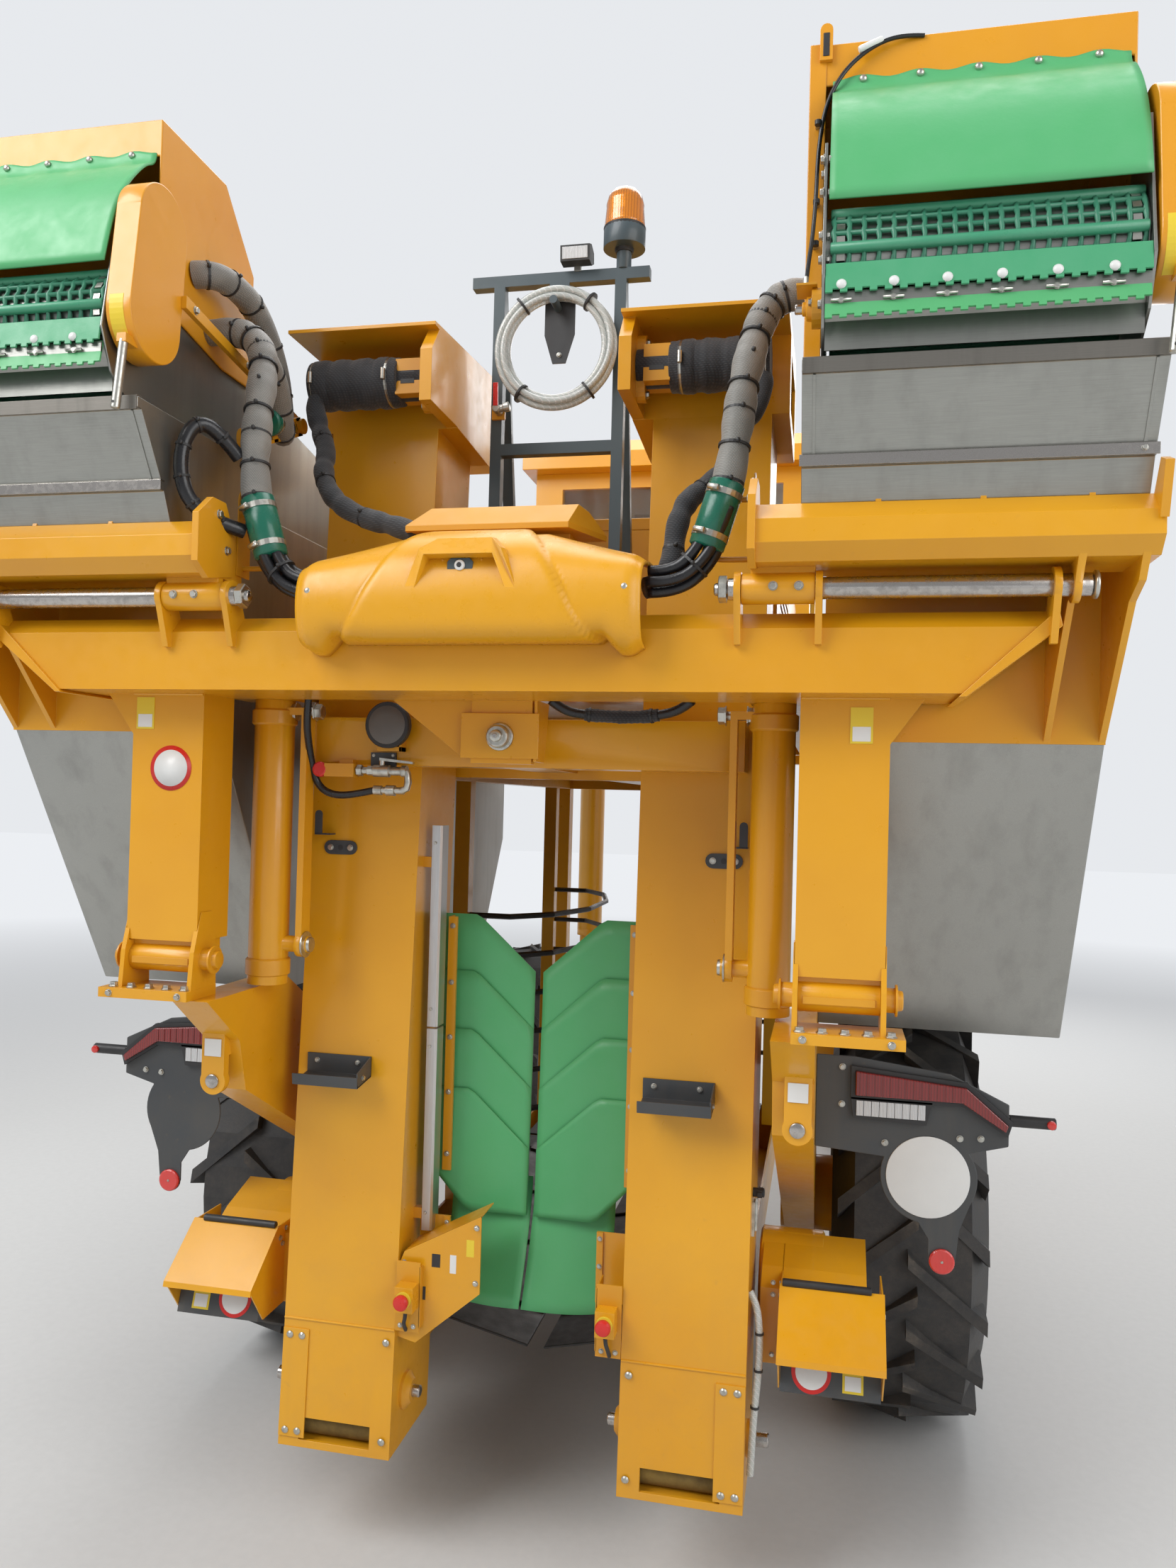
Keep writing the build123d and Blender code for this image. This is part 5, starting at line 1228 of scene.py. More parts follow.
def tube_fittings():
    b = Builder()
    y = TUBE_REAR_Y
    # Round reversing horn in a dark rim on its bracket
    b.lathe((HORN_PLACE[0], y - 0.022, HORN_PLACE[1]), REAR,
            [(0, 0.05), (0.01, 0.062), (0.03, 0.063), (0.034, 0.06)], TRIM, 32)
    b.lathe((HORN_PLACE[0], y - 0.054, HORN_PLACE[1]), REAR,
            [(0, 0.056), (0.003, 0.05), (0.005, 0.03), (0.006, 0.008)], HORN, 32)
    b.box(-0.385, -0.315, y - 0.034, y, 2.222, 2.234, CAST)
    b.box(-0.322, -0.315, y - 0.034, y, 2.222, 2.256, CAST)
    b.box(-0.412, -0.34, y - 0.01, y, 2.18, 2.219, BRACKET)
    b.bolts([(-0.404, y - 0.01, 2.211), (-0.348, y - 0.01, 2.211)], REAR, 0.004)
    # Valve: red knob, yellow block, union, elbow
    z = VALVE_Z
    valve_y = y - VALVE_OUT
    b.lathe((-0.545, y - 0.032, z), (0, -1, 0.1), [(0, 0.019), (0.004, 0.021), (0.016, 0.021), (0.02, 0.017)],
            BUTTON_RED, 20)
    b.box(-0.53, -0.445, y - 0.05, y - 0.012, z - 0.018, z + 0.018, CAST)
    b.rod((-0.56, valve_y, z), (-0.52, valve_y, z), 0.013, TRIM, 14, 0.002)
    profile = [(0, 0.01), (0.006, 0.016), (0.02, 0.016), (0.022, 0.01), (0.034, 0.01), (0.036, 0.014),
            (0.052, 0.014), (0.054, 0.009)]
    b.lathe((-0.446, valve_y, z), RIGHT, profile, ZINC, 6, False)
    b.lathe((-0.392, valve_y, z), RIGHT, [(0, 0.017), (0.044, 0.017), (0.048, 0.012), (0.078, 0.012),
            (0.08, 0.016), (0.094, 0.016)], ZINC, 16)
    b.rod((-0.37, valve_y, z + 0.014), (-0.37, valve_y, z + 0.03), 0.008, ZINC, 12)
    b.prism("y", [(-0.376, z + 0.028), (-0.28, z + 0.02), (-0.28, z + 0.026), (-0.376, z + 0.036)], y - 0.038,
            y - 0.024, ZINC)
    b.tube([(-0.3, valve_y, z), (-0.296, valve_y, z - 0.008), (-0.294, valve_y, z - 0.03),
            (-0.298, valve_y, z - 0.046), (-0.312, y - 0.03, z - 0.052)], 0.01, ZINC, 12)
    b.lathe((-0.394, y - 0.023, 2.1155), RIGHT,
            [(0, 0.0135), (0.022, 0.0135), (0.024, 0.01), (0.034, 0.01), (0.036, 0.015), (0.06, 0.015),
            (0.062, 0.01), (0.086, 0.01)], ZINC, 12)
    b.box(-0.5, -0.46, y - 0.02, y + 0.01, z + 0.014, z + 0.03, CAST)
    return b.finish("tube_fittings", "harvest_head", "shaft_steel", 0.0006)


beam_centre()
tube_fittings()


# Moulded rear cover: shell with two creases, arched camera housing, hipped box lid
COVER_SECTION = [(-2.583, 2.449), (-2.648, 2.451), (-2.676, 2.505), (-2.676, 2.58), (-2.65, 2.65),
        (-2.59, 2.7), (-2.51, 2.722), (-2.44, 2.722)]
COVER_WALL = 0.008
COVER_COLUMNS = 108
COVER_STEPS = 5
CREASE_LOW = 0.315          # half width between the creases at the cover's lower edge, and at its top
CREASE_HIGH = 0.085
CREASE_RISE = 0.013
COVER_REAR = (2.47, 2.716)  # heights between which the cover's section has one rear surface


def ease(value, low, high):
    """0 below the low value, 1 above the high one, smooth between them."""
    share = min(1.0, max(0.0, (value - low) / (high - low)))
    return share * share * (3 - 2 * share)


def cover_shell():
    b = Builder()
    section = spline_line([(0, y, z) for y, z in COVER_SECTION], COVER_STEPS)
    rows = len(section)
    grid = []
    for column in range(COVER_COLUMNS + 1):
        x = COVER_HALF * (2 * column / COVER_COLUMNS - 1)
        reach = abs(x)
        end_round = ease(reach, COVER_HALF - 0.03, COVER_HALF)
        top_drop = 0.068 * max(0.0, reach - 0.165) / 0.24
        line = []
        for row, point in enumerate(section):
            height = row / (rows - 1)
            out = along_of(section, row)
            out = Vector((0, -out.z, out.y))
            crease = CREASE_LOW + (CREASE_HIGH - CREASE_LOW) * height
            inside = 1 - ease(reach, crease - 0.004, crease + 0.005)
            proud = CREASE_RISE * inside * (1 - ease(height, 0.86, 1.0))
            proud -= 0.016 * end_round * (1 - 0.5 * height)
            belly = 0.01 * ease(height, 0.02, 0.12) * (1 - ease(height, 0.12, 0.3))
            belly *= 1 - ease(reach, 0.2, 0.34)
            place = Vector((x, point.y, point.z)) + out * (proud + belly)
            place.z -= top_drop * ease(height, 0.35, 0.95)
            raised = 0.028 * (1 - ease(reach, 0.318, 0.35)) - 0.012 * ease(reach, 0.345, 0.36)
            place.z += raised * (1 - ease(height, 0.0, 0.3))
            line.append(place)
        grid.append(line)
    b.skin(grid, COVER_WALL, COVER)
    for x in (-0.372, 0.372):
        b.lathe((x, -2.668, 2.57), REAR, [(0, 0.012), (0.01, 0.012), (0.011, 0.008)], COVER, 18)
        b.lathe((x, -2.677, 2.57), REAR, [(0, 0.009), (0.002, 0.009), (0.006, 0.006),
                (0.007, 0.002)], ZINC, 18)
    return b


def cover_y(z):
    """Rear surface of the cover at a height, on its middle."""
    section = spline_line([(0, y, z) for y, z in COVER_SECTION], COVER_STEPS)
    line = [p for p in section if COVER_REAR[0] < p.z < COVER_REAR[1]]
    below = [p for p in line if p.z <= z][-1]
    above = [p for p in line if p.z > z][0]
    return below.y + (above.y - below.y) * (z - below.z) / (above.z - below.z)


def quads_between(first, second, count=4):
    """Faces that join two rings of vertices."""
    return [[first + i, first + (i + 1) % count, second + (i + 1) % count, second + i] for i in range(count)]


def raised_form(b, outline, inset, proud, foot=2.0):
    """Form on the cover: outline in (x, z), drawn in and lifted at its face, less towards its foot."""
    count = len(outline)
    vertices = []
    for share, draw in ((0, 0.0), (0.55, 0.1 * inset), (1, inset)):
        for i, (x, z) in enumerate(outline):
            before, after = Vector(outline[i - 1]), Vector(outline[(i + 1) % count])
            side = (after - before).normalized()
            inward = Vector((-side.y, side.x))
            spot = Vector((x, z)) + inward * draw
            lift = 0.006 - share * (0.012 + proud * ease(spot.y, foot, foot + 0.07))
            vertices.append((spot.x, cover_y(spot.y) - CREASE_RISE + lift, spot.y))
    faces = quads_between(0, count, count) + quads_between(count, 2 * count, count)
    faces += [list(range(count))[::-1], [2 * count + i for i in range(count)]]
    b.add(vertices, faces, COVER)


def cover_housing():
    b = Builder()
    arch = [(-0.14, 2.56), (-0.104, 2.56), (-0.078, 2.638), (0.078, 2.638), (0.104, 2.56), (0.14, 2.56),
            (0.1, 2.66), (0.066, 2.694), (-0.066, 2.694), (-0.1, 2.66)]
    raised_form(b, arch, 0.005, 0.042, 2.566)
    raised_form(b, [(-0.05, 2.676), (0.05, 2.676), (0.044, 2.712), (-0.044, 2.712)], 0.004, 0.014)
    # Dark window with the camera behind it
    z0, z1 = 2.592, 2.641
    window = [(-0.074, z0), (0.078, z0), (0.07, z1), (-0.07, z1)]
    pane = [(x, cover_y(z) - CREASE_RISE + lift, z) for lift in (-0.0015, 0.01) for x, z in window]
    b.add(pane, [[0, 1, 2, 3], [7, 6, 5, 4], [0, 4, 5, 1], [1, 5, 6, 2], [2, 6, 7, 3], [3, 7, 4, 0]], TRIM)
    y = cover_y(2.62) - CREASE_RISE
    b.prism("y", [(-0.026, 2.603), (0.022, 2.603), (0.028, 2.612), (0.028, 2.63), (0.02, 2.638),
            (-0.024, 2.638), (-0.032, 2.63), (-0.032, 2.612)], y - 0.012, y + 0.002, RACK)
    b.lathe((-0.002, y - 0.01, 2.6215), REAR, [(0, 0.0125), (0.006, 0.012), (0.008, 0.0085)], PLATE_WHITE, 20)
    b.lathe((-0.002, y - 0.017, 2.6215), REAR, [(0, 0.006), (0.003, 0.0055)], TRIM, 16)
    for x in (-0.046, 0.046):
        b.rod((x, y - 0.002, 2.606), (x, y - 0.002, 2.638), 0.003, ORANGE, 8)
    # Lid: low base on the beam, hipped top that overhangs it
    b.box(-0.19, 0.19, -2.43, -2.345, 2.5303, 2.758, CAST)
    low, edge = 2.748, 2.762
    foot = [(-0.209, -2.496, low), (0.2, -2.496, low), (0.262, -2.338, low), (-0.236, -2.338, low)]
    lip = [(x, y, edge) for x, y, _ in foot]
    top = [(-0.16, -2.448, 2.815), (0.214, -2.448, 2.815), (0.22, -2.36, 2.818), (-0.166, -2.36, 2.818)]
    faces = [[3, 2, 1, 0], [8, 9, 10, 11]] + quads_between(0, 4) + quads_between(4, 8)
    b.add(foot + lip + top, faces, CAST)
    return b


shell_piece = cover_shell().finish("cover_shell", "chassis", "cover_yellow")
housing_piece = cover_housing().finish("cover_housing", "chassis", "cover_yellow", 0.003)
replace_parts(shell_piece, "rear_cover")
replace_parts(housing_piece, "rear_cover")


# Hose rack: black plate that holds the coil, ties, tap, flood light, bell under the beacon
RACK_REAR_Y = -1.853
BEACON = (0.19, -1.832)     # x and y


def rack_fittings():
    b = Builder()
    y = RACK_REAR_Y
    plate = [(-0.04, 3.6), (-0.04, 3.48), (-0.014, 3.395), (0.026, 3.395), (0.052, 3.48), (0.052, 3.6)]
    b.prism("y", plate, y - 0.005, y, TRIM)
    b.bolts([(-0.022, y - 0.005, 3.585), (0.034, y - 0.005, 3.585), (0.006, y - 0.005, 3.42)], REAR, 0.007)
    for degrees in (52, 128, 232, 308):
        cos, sin = math.cos(math.radians(degrees)), math.sin(math.radians(degrees))
        spot = (COIL_CENTRE[0] + COIL_R * cos, COIL_CENTRE[1], COIL_CENTRE[2] + COIL_R * sin)
        b.band(spot, (-sin, 0, cos), 0.027, 0.007, 0.002, TRIM, 18)
    # Tap on the rack's left post
    b.box(-0.196, -0.156, y - 0.006, y + 0.004, 3.236, 3.276, CAST)
    b.rod((-0.172, y - 0.006, 3.256), (-0.172, y - 0.05, 3.256), 0.012, ZINC, 14, 0.002)
    b.lathe((-0.172, y - 0.034, 3.256), (1, 0, 0.2),
            [(0, 0.011), (0.02, 0.011), (0.022, 0.014), (0.038, 0.014), (0.04, 0.009)], ZINC, 12)
    b.prism("x", [(y - 0.052, 3.262), (y - 0.044, 3.262), (y - 0.05, 3.33), (y - 0.058, 3.328)], -0.179,
            -0.165, BUTTON_RED)
    # Small flood light on the top bar
    b.prism("x", [(y - 0.036, 3.684), (y - 0.04, 3.73), (y - 0.01, 3.742), (y + 0.026, 3.73), (y + 0.03, 3.7),
            (y + 0.004, 3.684)], 0.01, 0.098, TRIM)
    b.prism("x", [(y - 0.0385, 3.69), (y - 0.042, 3.724), (y - 0.038, 3.724), (y - 0.0345, 3.69)], 0.016,
            0.092, LED_WHITE)
    b.box(0.044, 0.064, y, y + 0.014, 3.67, 3.69, ZINC)
    # Beacon: ribbed bell, clamp screw, cable
    x = BEACON[0]
    b.lathe((*BEACON, 3.722), UP, [(0, 0.026), (0.018, 0.03), (0.034, 0.046), (0.05, 0.06), (0.072, 0.063),
            (0.074, 0.06)], TRIM, 32)
    b.rod((x, -1.8, 3.712), (x, -1.772, 3.712), 0.006, ZINC, 10)
    b.box(x - 0.01, x + 0.01, -1.776, -1.768, 3.7, 3.724, TRIM)
    return b.finish("rack_fittings", "chassis", "rack_grey", 0.0008)


LENS_RIBS = 6


def beacon_lens():
    b = Builder()
    profile = [(0, 0.0585), (0.004, 0.0605)]
    for k in range(LENS_RIBS):
        profile += [(0.008 + 0.009 * k, 0.06 - 0.0008 * k), (0.0125 + 0.009 * k, 0.059 - 0.0008 * k)]
    profile += [(0.068, 0.056), (0.092, 0.05), (0.108, 0.038), (0.118, 0.022), (0.122, 0.006)]
    b.lathe((*BEACON, 3.7945), UP, profile, LAMP_AMBER, 40)
    return b.finish("beacon_lens", "chassis", "lamp_amber")


rack_fittings()
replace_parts(beacon_lens(), "beacon")


# Elevator motors: yellow gear case with a blank label, fabric sleeve held by steel bands
MOTOR_Y = -2.11
MOTOR_Z = 3.265


def motor_dress():
    b = Builder()
    y, z = MOTOR_Y, MOTOR_Z
    b.prism("x", [(y - 0.05, z - 0.05), (y + 0.047, z - 0.05), (y + 0.047, z + 0.048), (y - 0.05, z + 0.048)],
            0.3125, 0.384, CAST)
    flange = arc((y, z + 0.06), 0.03, 0, 180, 8) + arc((y, z - 0.06), 0.03, 180, 360, 8)
    b.prism("x", flange, 0.2895, 0.314, CAST)
    b.bolts([(0.314, y, z - 0.07), (0.314, y, z + 0.07)], RIGHT, 0.01)
    b.box(0.328, 0.368, y - 0.0512, y - 0.0495, z - 0.022, z + 0.014, TRIM)
    b.lathe((0.384, y, z), RIGHT, [(0, 0.052), (0.008, 0.058), (0.016, 0.058)], ZINC, 30)
    line = [Vector((0.394 + 0.25 * k / 40, y, z)) for k in range(41)]
    b.tube(line, folds(0.07, 4, 0.07), FABRIC_BLACK, 34)
    for x in (0.412, 0.628):
        b.band((x, y, z), RIGHT, 0.0665, 0.013, 0.0022, ZINC, 34)
        b.rod((x, y - 0.074, z - 0.016), (x, y - 0.074, z + 0.016), 0.0065, ZINC, 10, 0.001)
    return b


pair("motor_dress", "harvest_head", "black_rubber", motor_dress(), bevel=0.001)


# Left unit: perforated link bar with its two bosses, the arm that it hangs on, the loop hose's green clamp
LINK_HALF = 0.026
LINK_RAIL = 0.01
LINK_HOLES = 4
LINK_END = 0.03             # solid length at each end
LINK_WEB = 0.013            # half the width between two holes
BOW = (1.0, 0.5, 0.0, -0.5, -1.0)


def link_bar():
    b = Builder()
    rear, front = Vector((-2.396, 3.025)), Vector((-2.085, 3.163))
    run = (front - rear).normalized()
    up = Vector((-run.y, run.x))
    length = (front - rear).length
    x0, x1 = -0.706, -0.698

    def place(s, t):
        return tuple(rear + run * s + up * t)

    for side in (-1, 1):
        outer, inner = side * LINK_HALF, side * (LINK_HALF - LINK_RAIL)
        b.prism("x", [place(0, outer), place(length, outer), place(length, inner), place(0, inner)],
                x0, x1, CAST)
    for k in range(LINK_HOLES + 1):
        s = length * k / LINK_HOLES
        wide = LINK_END if k in (0, LINK_HOLES) else LINK_WEB
        s0, s1 = max(0, s - wide), min(length, s + wide)
        b.prism("x", [place(s0, -LINK_HALF), place(s1, -LINK_HALF), place(s1, LINK_HALF),
                place(s0, LINK_HALF)], x0, x1, CAST)
    for k in range(LINK_HOLES):
        for end, turn in ((0, 1), (1, -1)):
            s = length * (k + end) / LINK_HOLES
            inset = LINK_END if (k + end) in (0, LINK_HOLES) else LINK_WEB
            corner = [place(s + turn * inset, t) for t in (-0.016, 0.016)]
            bow = [place(s + turn * (inset + 0.009 * (1 - math.cos(a))), 0.016 * math.sin(a)) for a in BOW]
            b.prism("x", corner + bow, x0, x1, CAST)
    b.lathe((-0.698, rear.x, rear.y), RIGHT, [(-0.012, 0.03), (0.01, 0.03), (0.012, 0.026), (0.012, 0.012),
            (0.022, 0.012), (0.023, 0.009)], CAST, 26)
    b.lathe((-0.698, front.x, front.y), RIGHT, [(-0.012, 0.022), (0.008, 0.022), (0.01, 0.018)], CAST, 22)
    # Arm of the frame that the bar hangs on, and the brackets where the hoses pass
    b.prism("x", [(-2.64, 3.27), (-2.04, 3.186), (-2.04, 3.206), (-2.64, 3.3)], -0.7445, -0.73, CAST)
    b.box(-0.7445, -0.7, -2.1, -2.07, 3.15, 3.178, CAST)
    b.bolts([(-0.73, -2.6, 3.28), (-0.73, -2.34, 3.243), (-0.73, -2.1, 3.2)], RIGHT, 0.009)
    put_clamp(b, (-0.7, -2.29, 3.108), (-0.7, -2.215, 3.146), 0.037)
    return b.finish("link_bar", "bin_left", "machine_yellow", 0.0012)


link_bar()


# Bent round bar beside each bundle's clamp, welded to a lug on the tipping frame
def bundle_guard():
    b = Builder()
    line = spline_line([(0.645, -2.5, 2.8), (0.6, -2.5, 2.8), (0.566, -2.5, 2.8), (0.556, -2.5, 2.76),
            (0.548, -2.5, 2.7), (0.546, -2.5, 2.664), (0.58, -2.5, 2.662), (0.645, -2.5, 2.662)], 8)
    b.tube(line, 0.0065, CAST, 12)
    lug = [(-2.53, 2.64), (-2.47, 2.64), (-2.47, 2.8)]
    lug += arc((-2.5, 2.83), 0.03, 0, 180, 8) + [(-2.53, 2.8)]
    b.prism("x", lug, 0.636, 0.6395, CAST)
    b.lathe((0.636, -2.5, 2.835), LEFT, [(0, 0.014), (0.006, 0.014)], ZINC, 6, False)
    return b


pair("bundle_guard", "bin_{side}", "machine_yellow", bundle_guard())


# Tunnel flaps: rubber sheets that overlap like scales, their inner top corners cut off, over a lower pair
FLAP_X0 = 0.012
FLAP_X1 = 0.301
FLAP_CUT_X = 0.19           # where the slanting cut of the top edge starts
FLAP_TOPS = (1.757, 1.59, 1.42, 1.25)
FLAP_STEPS = 14
FLAP_FOOT = 0.9
LOWER_TOP = 1.0
LOWER_FOOT = 0.672
LOWER_STEPS = 10


def scale_sheet(b, index, top):
    """One scale of the tunnel's four; a higher index lies nearer the rear."""
    grid = []
    for c in range(FLAP_STEPS + 1):
        x = FLAP_X0 + (FLAP_X1 - FLAP_X0) * c / FLAP_STEPS
        high = top - 0.9 * max(0.0, FLAP_CUT_X - x)
        low = FLAP_FOOT + 1.05 * max(0.0, x - FLAP_CUT_X)
        line = []
        for r in range(FLAP_STEPS + 1):
            down = r / FLAP_STEPS
            z = high + (low - high) * down
            wave = 0.004 * math.sin(9 * x + 2.2 * z + index)
            line.append(Vector((x, -1.872 - 0.0065 * index - 0.03 * (FLAP_TOPS[0] - z) ** 2 - wave, z)))
        grid.append(line)
    b.skin(grid, 0.0035, FLAP)


def tunnel_flaps(strip_x):
    b = Builder()
    grid = []
    for c in range(LOWER_STEPS + 1):
        x = 0.004 + 0.24 * c / LOWER_STEPS
        line = []
        for r in range(LOWER_STEPS + 1):
            y = -1.866 - 0.135 * (r / LOWER_STEPS) ** 1.5 * (1 - 1.6 * x)
            bow = 0.012 * math.sin(11 * x) * r / LOWER_STEPS
            z = LOWER_TOP + (LOWER_FOOT - LOWER_TOP) * r / LOWER_STEPS - bow
            line.append(Vector((x, y, z)))
        grid.append(line)
    b.skin(grid, 0.004, FLAP)
    for index, top in enumerate(FLAP_TOPS):
        scale_sheet(b, index, top)
    # Steel strips that clamp the sheets, with their bolts
    b.box(strip_x, strip_x + 0.026, -1.92, -1.91, 1.012, 1.752, YELLOW)
    b.box(strip_x + 0.022, strip_x + 0.026, -1.91, -1.872, 1.012, 1.752, YELLOW)
    b.bolts([(strip_x + 0.013, -1.92, z) for z in (1.725, 1.56, 1.4, 1.24, 1.06)], REAR, 0.007)
    b.box(0.214, 0.232, -1.99, -1.98, 0.712, 0.905, YELLOW)
    b.bolts([(0.223, -1.99, z) for z in (0.888, 0.812, 0.73)], REAR, 0.006)
    b.box(0.232, 0.305, -1.984, -1.98, 0.712, 0.905, YELLOW)
    return b


for side, strip_x in (("right", 0.275), ("left", 0.24)):
    shape = tunnel_flaps(strip_x)
    if side == "left":
        shape = shape.mirrored()
    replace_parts(shape.finish(f"tunnel_sheets_{side}", "harvest_head", "flap_green"), "tunnel_flaps")


# Elevator columns: emergency stop on its bracket, weld seam, cover plate, stub shafts, latches, rubber stop's
# foot, roller
STOP_X = 0.277
LOW_ROLLER = (-2.045, 0.43)


def column_y(z):
    """Rear face of the leaning elevator column."""
    return -2.155 + 0.057 * (z - 0.29)


def column_feet():
    b = Builder()
    y = column_y(0.72)
    # Emergency stop
    b.box(0.246, 0.3145, y - 0.006, y - 0.002, 0.636, 0.826, CAST)
    b.box(0.244, 0.248, y - 0.006, y + 0.08, 0.65, 0.815, CAST)
    b.box(0.251, 0.303, y - 0.048, y - 0.006, 0.704, 0.772, COVER)
    b.lathe((STOP_X, y - 0.048, 0.74), REAR, [(0, 0.022), (0.004, 0.022), (0.005, 0.017)], LABEL_YELLOW, 28)
    b.lathe((STOP_X, y - 0.052, 0.74), REAR, [(0, 0.011), (0.008, 0.011), (0.01, 0.02), (0.02, 0.021),
            (0.026, 0.017), (0.028, 0.008)], BUTTON_RED, 28)
    b.bolts([(0.262, y - 0.0065, 0.652), (0.3, y - 0.0065, 0.652)], REAR, 0.006)
    b.tube(spline_line([(STOP_X, y - 0.03, 0.704), (STOP_X, y - 0.03, 0.684), (0.284, y - 0.026, 0.664),
            (0.284, y - 0.004, 0.64)], 6), 0.0055, TRIM, 10)
    # Weld seam across the column, then the cover plate and its screws
    seam = (column_y(0.634) - 0.0005, 0.634)
    b.rod((0.316, *seam), (0.642, *seam), 0.0035, YELLOW, 8)
    y0, y1 = column_y(0.317), column_y(0.608)
    b.prism("x", [(y0, 0.317), (y1, 0.608), (y1 - 0.004, 0.608), (y0 - 0.004, 0.317)], 0.566, 0.642, YELLOW)
    screws = [(0.622, 0.59), (0.586, 0.59), (0.622, 0.334), (0.586, 0.334), (0.338, 0.338), (0.338, 0.6)]
    for x, z in screws:
        b.lathe((x, column_y(z) - 0.003, z), REAR, [(0, 0.01), (0.003, 0.01), (0.006, 0.006)], ZINC, 16)
    # Lower rollers' shaft ends on both sides of the column
    b.rod((0.64, *LOW_ROLLER), (0.7, *LOW_ROLLER), 0.018, SHAFT, 20, 0.003)
    b.lathe((0.6405, *LOW_ROLLER), RIGHT, [(0, 0.045), (0.012, 0.045), (0.015, 0.038),
            (0.024, 0.028)], CAST, 26)
    b.bolts([(0.6525, -2.078, 0.43), (0.6525, -2.012, 0.43)], RIGHT, 0.007)
    b.rod((0.318, *LOW_ROLLER), (0.268, *LOW_ROLLER), 0.016, SHAFT, 20, 0.003)
    b.lathe((0.3165, *LOW_ROLLER), LEFT, [(0, 0.05), (0.01, 0.05), (0.012, 0.044), (0.026, 0.03)], CAST, 26)
    # Draw latches and wing bolts on the outer side
    for z in (1.005, 1.62):
        y = column_y(z) + 0.085
        b.box(0.642, 0.65, y - 0.02, y + 0.02, z - 0.045, z + 0.045, ZINC)
        b.rod((0.652, y, z - 0.035), (0.652, y, z + 0.05), 0.005, ZINC, 10)
        b.lathe((0.642, y, z + 0.066), RIGHT, [(0, 0.012), (0.03, 0.012), (0.032, 0.008)], TRIM, 14)
        for turn in (-1, 1):
            b.prism("x", arc((y + turn * 0.016, z + 0.066), 0.009, 0, 345, 10), 0.656, 0.668, TRIM)
    # Obround foot of the rubber stop, and its bent upright plate
    z = 1.95
    y = column_y(z)
    base = arc((0.548 + 0.03, z), 0.02, -90, 90, 8) + arc((0.548 - 0.03, z), 0.02, 90, 270, 8)
    b.prism("y", base, y - 0.006, y - 0.001, BRACKET)
    b.bolts([(0.518, y - 0.006, z), (0.578, y - 0.006, z)], REAR, 0.008)
    b.disc((0.548, y - 0.006, z), REAR, 0.008, 0.0006, TRIM, 14)
    b.box(0.566, 0.612, y - 0.042, y - 0.002, 1.986, 1.99, BRACKET)
    upright = [(0.59, 1.988), (0.612, 1.988), (0.612, 2.045)] + arc((0.601, 2.045), 0.011, 0, 180, 6)
    b.prism("y", upright, y - 0.042, y - 0.038, BRACKET)
    # Roller behind the slot at the column's foot
    b.disc((0.322, -2.085, 0.345), RIGHT, 0.045, 0.314, ROLLER, 28)
    return b


pair("column_feet", "harvest_head", "machine_yellow", column_feet(), bevel=0.001)


# Wheels: nuts round the dish, a hub cap with its bolts, and the tyre's valve.
# Name, axle, x of the dish's outer face, the valve's distance from the axle
WHEELS = (("rear", REAR_AXLE, 0.965, 0.3), ("front", FRONT_AXLE, 1.015, 0.25))
WHEEL_NUTS = 10
NUT_CIRCLE = 0.185
CAP_BOLTS = 6
CAP_CIRCLE = 0.078


def wheel_fittings(axle, face, valve_r):
    b = Builder()
    for x, y, z in ring(face, axle, NUT_CIRCLE, WHEEL_NUTS, 9):
        b.lathe((x, y, z), RIGHT, [(0, 0.019), (0.003, 0.019), (0.0035, 0.015)], ZINC, 24)
        b.bolt((x + 0.003, y, z), RIGHT, 0.016)
    y, z = axle
    b.lathe((face + 0.045, y, z), RIGHT, [(0, 0.096), (0.006, 0.096), (0.009, 0.09), (0.011, 0.062),
            (0.02, 0.056), (0.024, 0.046), (0.025, 0.02)], CAST, 40)
    b.bolts(ring(face + 0.053, axle, CAP_CIRCLE, CAP_BOLTS), RIGHT, 0.007)
    b.rod((face - 0.004, y, z + valve_r - 0.03), (face + 0.03, y, z + valve_r - 0.02), 0.006, TRIM, 12, 0.001)
    b.rod((face + 0.028, y, z + valve_r - 0.0207), (face + 0.04, y, z + valve_r - 0.0167), 0.0045,
            ZINC, 10, 0.001)
    return b


for name, axle, face, valve_r in WHEELS:
    pair(f"{name}_wheel_fittings", name + "_wheel_{side}", "shaft_steel", wheel_fittings(axle, face, valve_r),
            bevel=0.0006)
